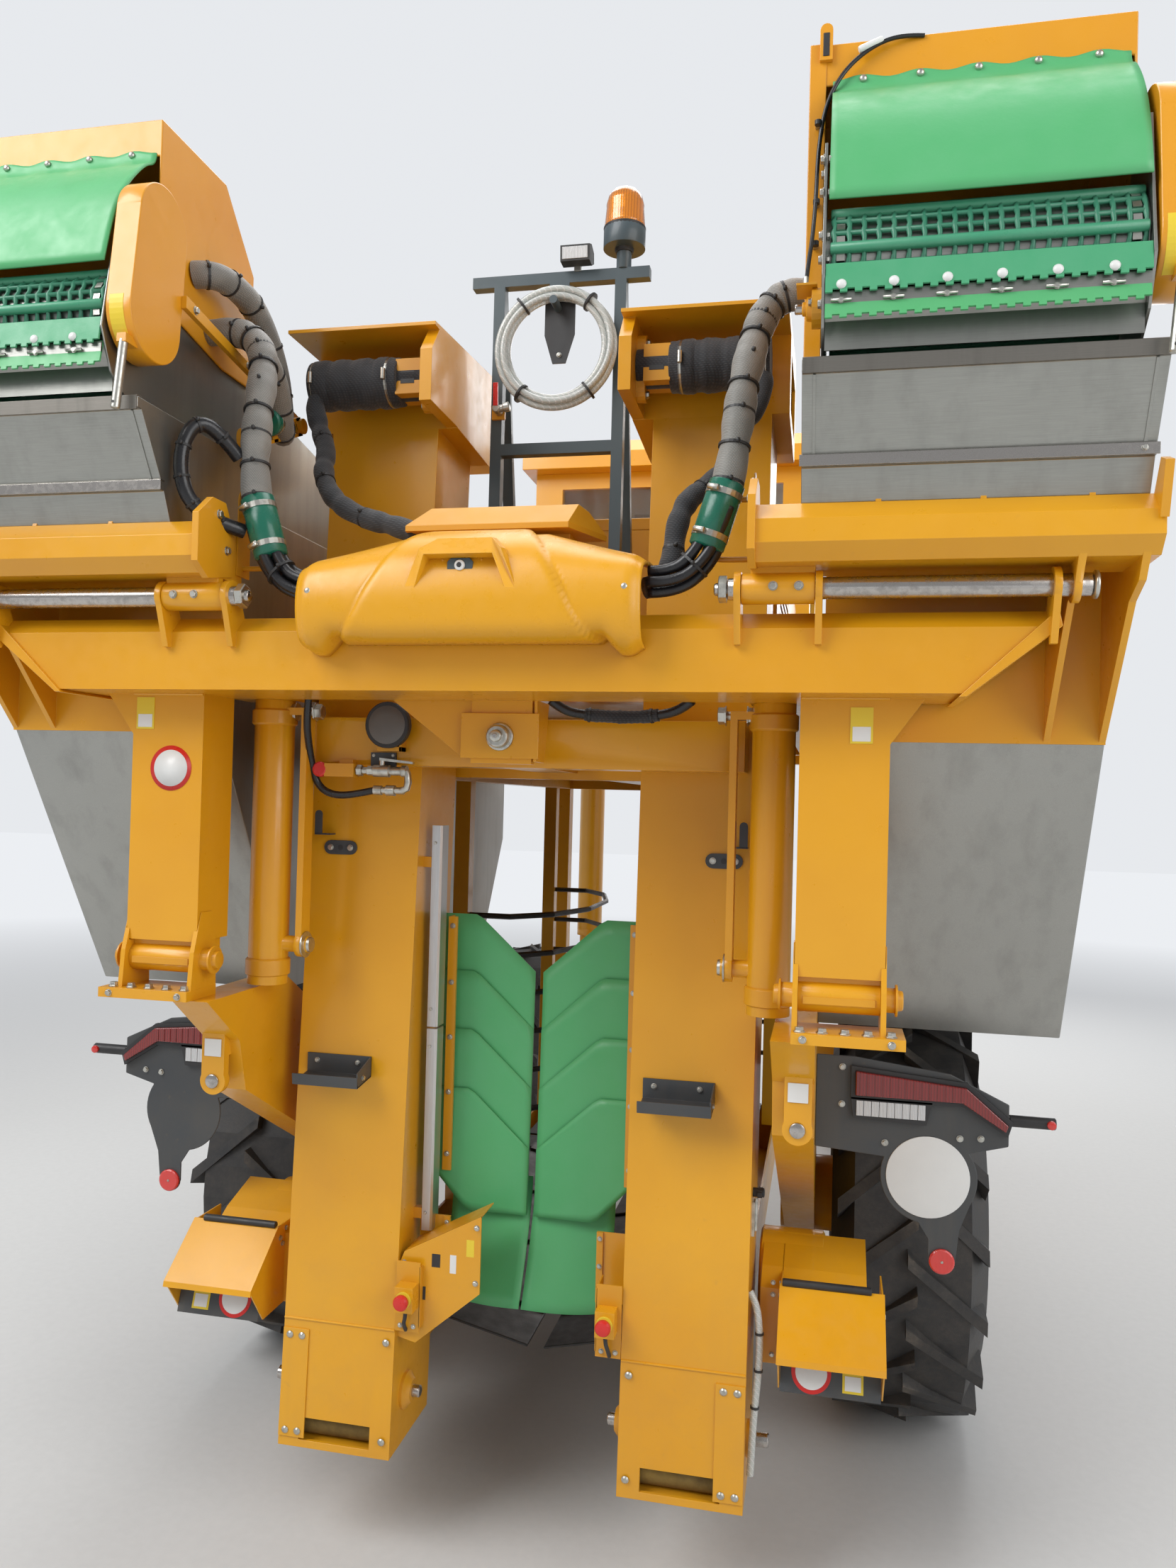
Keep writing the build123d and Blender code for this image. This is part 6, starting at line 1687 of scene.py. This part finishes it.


# On the left column: edge strip of aluminium in two lengths, and the belt's end plate with its holes, drawn
# as thin black patches on the plate: painted shade in place of openings
def left_column():
    b = Builder()
    for z0, z1 in ((0.868, 1.44), (1.446, 2.02)):
        b.prism("z", [(0.26, -2.01), (0.266, -2.016), (0.29, -2.016), (0.29, -2.01), (0.268, -2.006),
                (0.266, -1.96), (0.26, -1.96)], z0, z1, ALUMINIUM)
        for z in (z0 + 0.05, z1 - 0.05):
            b.bolt((0.28, -2.016, z), REAR, 0.005, False)
    for z in (0.9, 1.9):
        b.box(0.288, 0.318, -2.014, -1.99, z, z + 0.03, CAST)
    plate = [(0.082, 0.962), (0.3, 0.846), (0.316, 0.806), (0.316, 0.612), (0.262, 0.6), (0.082, 0.752)]
    b.prism("y", plate, -2.118, -2.112, YELLOW)
    b.prism("y", [(0.082, 0.962), (0.3, 0.846), (0.3, 0.842), (0.082, 0.958)], -2.1175, -2.0, YELLOW)
    # Thin black patches on the plate's face for its holes: painted shade, not cut openings
    for x, z in ((0.236, 0.72), (0.196, 0.812)):
        b.box(x, x + 0.024, -2.1188, -2.1178, z, z + 0.036, TRIM)
    b.disc((0.27, -2.1181, 0.66), REAR, 0.012, 0.0006, TRIM, 20)
    b.box(0.1, 0.122, -2.1186, -2.1178, 0.85, 0.896, LABEL_YELLOW)
    b.box(0.15, 0.168, -2.1186, -2.1178, 0.8, 0.85, PLATE_WHITE)
    b.bolts([(0.094, -2.118, 0.93), (0.094, -2.118, 0.78), (0.3, -2.118, 0.816)], REAR, 0.007)
    return b.mirrored()


left_column().finish("left_column_edge", "harvest_head", "machine_yellow", 0.001)


# Folded grey trays across the columns' rear faces, both with the closed end on the right
TRAY_X = (-0.614, 0.35)
TRAY_LENGTH = 0.192


def trays():
    b = Builder()
    y = column_y(1.33)
    for x in TRAY_X:
        b.prism("x", [(y, 1.368), (y - 0.004, 1.368), (y - 0.004, 1.316), (y - 0.092, 1.304),
                (y - 0.096, 1.33), (y - 0.1, 1.33), (y - 0.096, 1.299), (y, 1.311)], x,
                x + TRAY_LENGTH, BRACKET)
        b.prism("x", [(y, 1.368), (y - 0.096, 1.34), (y - 0.096, 1.3), (y, 1.312)], x + TRAY_LENGTH - 0.004,
                x + TRAY_LENGTH, BRACKET)
        b.bolts([(x + 0.03, y - 0.004, 1.348), (x + TRAY_LENGTH - 0.04, y - 0.004, 1.348)], REAR, 0.007)
        b.bolt((x + TRAY_LENGTH, y - 0.06, 1.322), RIGHT, 0.007)
    return b.finish("column_trays", "harvest_head", "bracket_grey", 0.001)


trays()


# Clear drain hose on the right column's outer corner, held by black ties
DRAIN_ROUTE = [(0.6445, -2.085, 0.83), (0.662, -2.092, 0.806), (0.672, -2.096, 0.745), (0.674, -2.1, 0.68),
        (0.67, -2.105, 0.61), (0.664, -2.11, 0.54), (0.66, -2.112, 0.455), (0.657, -2.112, 0.372)]
DRAIN_R = 0.0095


def add_drain_hose():
    piece = cord_curve("drain_hose_right", DRAIN_ROUTE, DRAIN_R, COIL)
    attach(piece, "harvest_head")
    ties = Builder()
    line = spline_line(DRAIN_ROUTE)
    for share in (0.3, 0.52, 0.74):
        index = int(share * (len(line) - 1))
        ties.band(line[index], along_of(line, index), DRAIN_R, 0.006, 0.0022, TRIM, 14)
    held = ties.finish("drain_hose_ties_right", "harvest_head", "trim_black")


add_drain_hose()


# Cleaning fans: drum, duct and the scoop over the outlet with its rubber edging and blank plates
FAN_X0 = 0.655
FAN_X1 = 0.835
SCOOP_X0 = 0.722
SCOOP_X1 = 0.985
FAN_AXLE = (-1.775, 0.75)


def fan_scoop():
    b = Builder()
    drum = [(0, 0.128), (0.006, 0.138), (0.174, 0.138), (0.18, 0.128), (0.18, 0.08), (0.172, 0.076)]
    b.lathe((FAN_X0, *FAN_AXLE), RIGHT, drum, YELLOW, 36)
    b.bolts(ring(FAN_X1, FAN_AXLE, 0.108, 6), RIGHT, 0.007)
    duct = [(-1.79, 0.888), (-1.93, 0.842), (-1.99, 0.806), (-1.99, 0.606), (-1.84, 0.628), (-1.79, 0.66)]
    b.prism("x", duct, FAN_X0 + 0.012, SCOOP_X0 + 0.004, YELLOW)
    top = [(-1.79, 0.888), (-1.93, 0.842), (-1.99, 0.806), (-1.99, 0.8), (-1.93, 0.836), (-1.79, 0.882)]
    b.prism("x", top, SCOOP_X0, SCOOP_X1 - 0.04, YELLOW)
    side = [(-1.9, 0.835), (-2.04, 0.838), (-2.19, 0.716), (-2.182, 0.7), (-2.11, 0.604), (-1.96, 0.604),
            (-1.9, 0.66)]
    for x in (SCOOP_X0, SCOOP_X1 - 0.004):
        b.prism("x", side, x, x + 0.004, YELLOW)
    for edge in ([(-2.038, 0.842), (-2.192, 0.717), (-2.19, 0.713), (-2.038, 0.837)],
            [(-2.192, 0.717), (-2.196, 0.702), (-2.192, 0.701), (-2.188, 0.714)]):
        b.prism("x", edge, SCOOP_X0 - 0.003, SCOOP_X1 + 0.003, YELLOW)
    b.rod((SCOOP_X0 + 0.004, -2.038, 0.845), (SCOOP_X1 - 0.03, -2.038, 0.845), 0.0105,
            BLACK_RUBBER, 16, 0.002)
    b.box(SCOOP_X0 + 0.004, SCOOP_X1 - 0.004, -2.0, -1.9, 0.604, 0.608, YELLOW)
    # Leaning grey plate in the outlet with blank signs
    rear, front = Vector((-2.13, 0.606)), Vector((-2.095, 0.715))
    up = (front - rear).normalized()
    out = Vector((-up.y, up.x))

    def at(rise, proud):
        return tuple(rear + up * rise + out * proud)

    def sign(low, high, inner, outer, x0, x1, tone):
        b.prism("x", [at(low, inner), at(high, inner), at(high, outer), at(low, outer)], x0, x1, tone)

    sign(0, 0.112, 0, 0.003, SCOOP_X0 + 0.006, SCOOP_X1 - 0.006, BRACKET)
    for radius, proud, tone in ((0.05, 0.003, BUTTON_RED), (0.04, 0.0042, PLATE_WHITE)):
        spot = at(0.052, proud)
        b.disc((0.806, *spot), (0, out.x, out.y), radius, 0.0012, tone, 40)
    sign(0.014, 0.1, 0.003, 0.0042, 0.884, 0.936, LABEL_YELLOW)
    sign(0.02, 0.054, 0.0042, 0.005, 0.89, 0.93, PLATE_WHITE)
    sign(0.06, 0.094, 0.0042, 0.005, 0.89, 0.93, PLATE_WHITE)
    b.bolts([(SCOOP_X0, -2.02, 0.802), (SCOOP_X0, -2.006, 0.782), (SCOOP_X0, -1.985, 0.82)], LEFT, 0.007)
    b.bolts([(0.7, -1.991, 0.822), (0.7, -1.991, 0.79), (0.7, -1.991, 0.63)], REAR, 0.006)
    b.bolts([(SCOOP_X1, -2.05, 0.79), (SCOOP_X1, -1.985, 0.64)], RIGHT, 0.007)
    return b


pair("fan_scoop", "harvest_head", "machine_yellow", fan_scoop(), bevel=0.0012)
for side, _ in SIDES:
    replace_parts(bpy.data.objects[f"fan_scoop_{side}"], "fan_housings")


# Lamp brackets: neck with its reflector, blank disc, red lamp in a bezel, white strip, marker bar
LAMP_Y = -1.9601


def lamp_details():
    b = Builder()
    neck = [(0.992, 1.062), (1.075, 1.002), (1.102, 0.96), (1.102, 0.905)]
    neck += arc((1.137, 0.905), 0.034, 180, 360, 10) + [(1.18, 0.99), (1.21, 1.07)]
    b.prism("y", neck, -1.9358, -1.9302, BRACKET)
    b.lathe((1.137, -1.9358, 0.905), REAR, [(0, 0.033), (0.006, 0.033), (0.009, 0.029)], REFLECTOR, 34)
    b.lathe((1.137, -1.9445, 0.905), REAR, [(0, 0.004), (0.002, 0.003)], ZINC, 10)
    # Bezel round the lamp, ribs across its lens, white strip below its inner end
    rim = [(0.893, 1.318), (1.184, 1.318), (1.296, 1.248), (1.308, 1.288), (1.194, 1.382), (0.893, 1.407)]
    lens = [(0.905, 1.33), (1.18, 1.33), (1.29, 1.262), (1.296, 1.28), (1.19, 1.37), (0.905, 1.395)]
    count = len(rim)
    y0, y1 = -1.9362, -1.95
    vertices = [(x, y, z) for y, form in ((y0, rim), (y1, rim), (y1, lens), (y0, lens)) for x, z in form]
    faces = [face for k in range(4) for face in quads_between(k * count, (k + 1) % 4 * count, count)]
    b.add(vertices, faces, TRIM)
    for k in range(14):
        x = 0.915 + 0.02 * k
        top = 1.393 - 0.087 * (x - 0.905)
        b.box(x, x + 0.0025, LAMP_Y - 0.0018, LAMP_Y + 0.0006, 1.332, top - 0.002, LAMP_RED)
    b.prism("y", [(0.893, 1.324), (1.105, 1.324), (1.09, 1.262), (0.9, 1.268)], -1.95, -1.9362, TRIM)
    for k in range(9):
        x = 0.908 + 0.02 * k
        b.box(x, x + 0.0185, -1.953, -1.949, 1.276, 1.316, LED_WHITE)
    b.bolts([(0.87, -1.9362, 1.3), (0.87, -1.9362, 1.4), (1.23, -1.9362, 1.236), (0.985, -1.9362, 1.205),
            (1.177, -1.9362, 1.232)], REAR, 0.008)
    # Marker bar at the outer end: rubber arm with a small two-colour lamp
    b.rod((1.3, -1.926, 1.2875), (1.417, -1.926, 1.2875), 0.0155, BLACK_RUBBER, 18, 0.003)
    b.lathe((1.404, -1.9415, 1.2875), REAR, [(0, 0.012), (0.006, 0.011), (0.008, 0.006)], REFLECTOR, 18)
    b.tube(spline_line([(0.915, -1.93, 1.34), (0.905, -1.9, 1.33), (0.88, -1.89, 1.3), (0.85, -1.9, 1.33)],
            8), 0.006, TRIM, 10)
    return b


pair("lamp_details", "chassis", "bracket_grey", lamp_details(), bevel=0.0008)


def blank_disc():
    """The speed plate on the right, left blank."""
    b = Builder()
    b.lathe((1.097, -1.936, 1.123), REAR, [(0, 0.108), (0.0022, 0.108), (0.0026, 0.1065)], PLATE_WHITE, 56)
    return b.finish("blank_disc", "chassis", "bracket_grey")


blank_disc()


# Rear legs: pivot washers, lock plate, row of nuts, blank plate over the eye, weld beads
def leg_details():
    b = Builder()
    for x, out in ((0.72, LEFT), (0.974, RIGHT)):
        b.lathe((x, -2.44, 1.668), out, [(0, 0.036), (0.005, 0.036), (0.006, 0.024), (0.016, 0.022),
                (0.018, 0.018)], CAST, 28)
    b.box(0.77, 0.93, -2.4785, -2.4765, 1.655, 1.672, CAST)
    for k in range(5):
        b.lathe((0.764 + 0.05 * k, -2.5, 1.595), UP,
                [(0, 0.014), (0.003, 0.014), (0.004, 0.011), (0.012, 0.01)], ZINC, 6, False)
    b.bolts([(0.772, -2.52, 1.582), (0.965, -2.52, 1.582)], REAR, 0.008)
    # Blank white plate over the eye, and the eye's washer
    b.box(0.738, 0.786, -2.3585, -2.356, 1.4, 1.446, PLATE_WHITE)
    b.lathe((0.762, -2.3555, 1.334), REAR, [(0, 0.0185), (0.004, 0.0185), (0.006, 0.015)], SHAFT, 22)
    # Weld beads where the leg meets the beam
    b.rod((0.752, -2.4735, 2.349), (0.948, -2.4735, 2.349), 0.005, YELLOW, 8)
    b.rod((0.9505, -2.47, 2.34), (0.9505, -2.33, 2.34), 0.005, YELLOW, 8)
    return b


pair("leg_details", "chassis", "shaft_steel", leg_details(), bevel=0.0008)


# Blank signs on the legs: a yellow one on each, a ringed white disc on the left one
def leg_signs():
    b = Builder()
    for x, z in ((0.862, 2.246), (-0.94, 2.258)):
        b.box(x, x + 0.05, -2.4748, -2.473, z, z + 0.082, LABEL_YELLOW)
        b.box(x + 0.005, x + 0.045, -2.4754, -2.4748, z + 0.005, z + 0.038, PLATE_WHITE)
    b.disc((-0.838, -2.473, 2.158), REAR, 0.058, 0.0014, BUTTON_RED, 44)
    b.disc((-0.838, -2.4744, 2.158), REAR, 0.047, 0.001, PLATE_WHITE, 44)
    return b.finish("leg_signs", "chassis", "bracket_grey")


leg_signs()


# Lift cylinders: collars at both ends of the tube, and the port on its side
def cylinder_details():
    b = Builder()
    b.lathe((0.68, -2.225, 1.6), UP, [(0, 0.05), (0.006, 0.06), (0.046, 0.06), (0.05, 0.056)], CAST, 30)
    b.lathe((0.68, -2.225, 2.286), UP, [(0, 0.056), (0.005, 0.061), (0.04, 0.061), (0.044, 0.056)], CAST, 30)
    b.lathe((0.572, -2.225, 1.69), LEFT, [(0, 0.036), (0.005, 0.036), (0.006, 0.022), (0.02, 0.02)], ZINC, 22)
    return b


pair("cylinder_details", "chassis", "machine_yellow", cylinder_details(), bevel=0.001)


# Sorter hood's rear strip and cheek, wing and end plates of the tipping frame's upper beam, beam end caps
def hood_strip():
    b = Builder()
    b.box(UNIT_X0 - 0.0015, 0.779, -2.6425, -2.634, 3.012, 3.7415, ORANGE)
    b.prism("x", [(-2.64, 3.012), (-2.64, 3.65), (-2.49, 3.3), (-2.55, 3.012)], UNIT_X0 - 0.0015,
            UNIT_X0 + 0.005, ORANGE)
    return b


pair("hood_strip", "bin_{side}", "hood_orange", hood_strip(), UNIT_PITCH, bevel=0.002)


def beam_plates():
    b = Builder()
    end = [(-2.71, 2.64), (-2.71, 2.755), (-2.65, 2.805), (-2.59, 2.805), (-2.55, 2.744), (-2.55, 2.63),
            (-2.66, 2.608)]
    b.prism("x", end, 0.6372, 0.654, CAST)
    b.prism("x", [(-2.708, 2.685), (-2.66, 2.745), (-2.704, 2.805), (-2.74, 2.79)], 1.44, 1.457, CAST)
    for x in (0.9, 1.11, 1.32):
        b.prism("x", [(-2.66, 2.744), (-2.6, 2.744), (-2.6, 2.775), (-2.625, 2.79), (-2.65, 2.775)], x,
                x + 0.012, CAST)
    b.bolts([(0.6372, -2.62, 2.77), (0.6372, -2.58, 2.69)], LEFT, 0.01)
    return b


pair("beam_plates", "bin_{side}", "machine_yellow", beam_plates(), bevel=0.003)


def beam_caps():
    b = Builder()
    cap = [(1.082, 2.342), (1.098, 2.342), (1.288, 2.492), (1.28, 2.53), (1.09, 2.35)]
    b.prism("y", cap, -2.588, -2.33, YELLOW)
    return b


pair("beam_caps", "chassis", "machine_yellow", beam_caps(), bevel=0.002)


# Cable that sags below the beam, its middle wrapped in a sleeve
BEAM_CABLE = [(0.12, -2.3, 2.355), (0.15, -2.285, 2.33), (0.2, -2.268, 2.322), (0.26, -2.262, 2.318),
        (0.33, -2.262, 2.316), (0.395, -2.266, 2.322), (0.45, -2.28, 2.334), (0.48, -2.3, 2.356)]
BEAM_CABLE_R = 0.017


def add_beam_cable():
    line = spline_line(BEAM_CABLE)
    b = Builder()
    quarter = len(line) // 4
    b.tube(line, BEAM_CABLE_R * 0.72, HOSE_BLACK, 14)
    b.tube(line[quarter:-quarter], folds(BEAM_CABLE_R, 3, 0.08), FABRIC_BLACK, 18)
    piece = b.finish("beam_cable", "chassis", "trim_black")
    ties = Builder()
    put_ties(ties, line, (0.3, 0.7), BEAM_CABLE_R)
    held = ties.finish("beam_cable_ties", "chassis", "trim_black")


add_beam_cable()
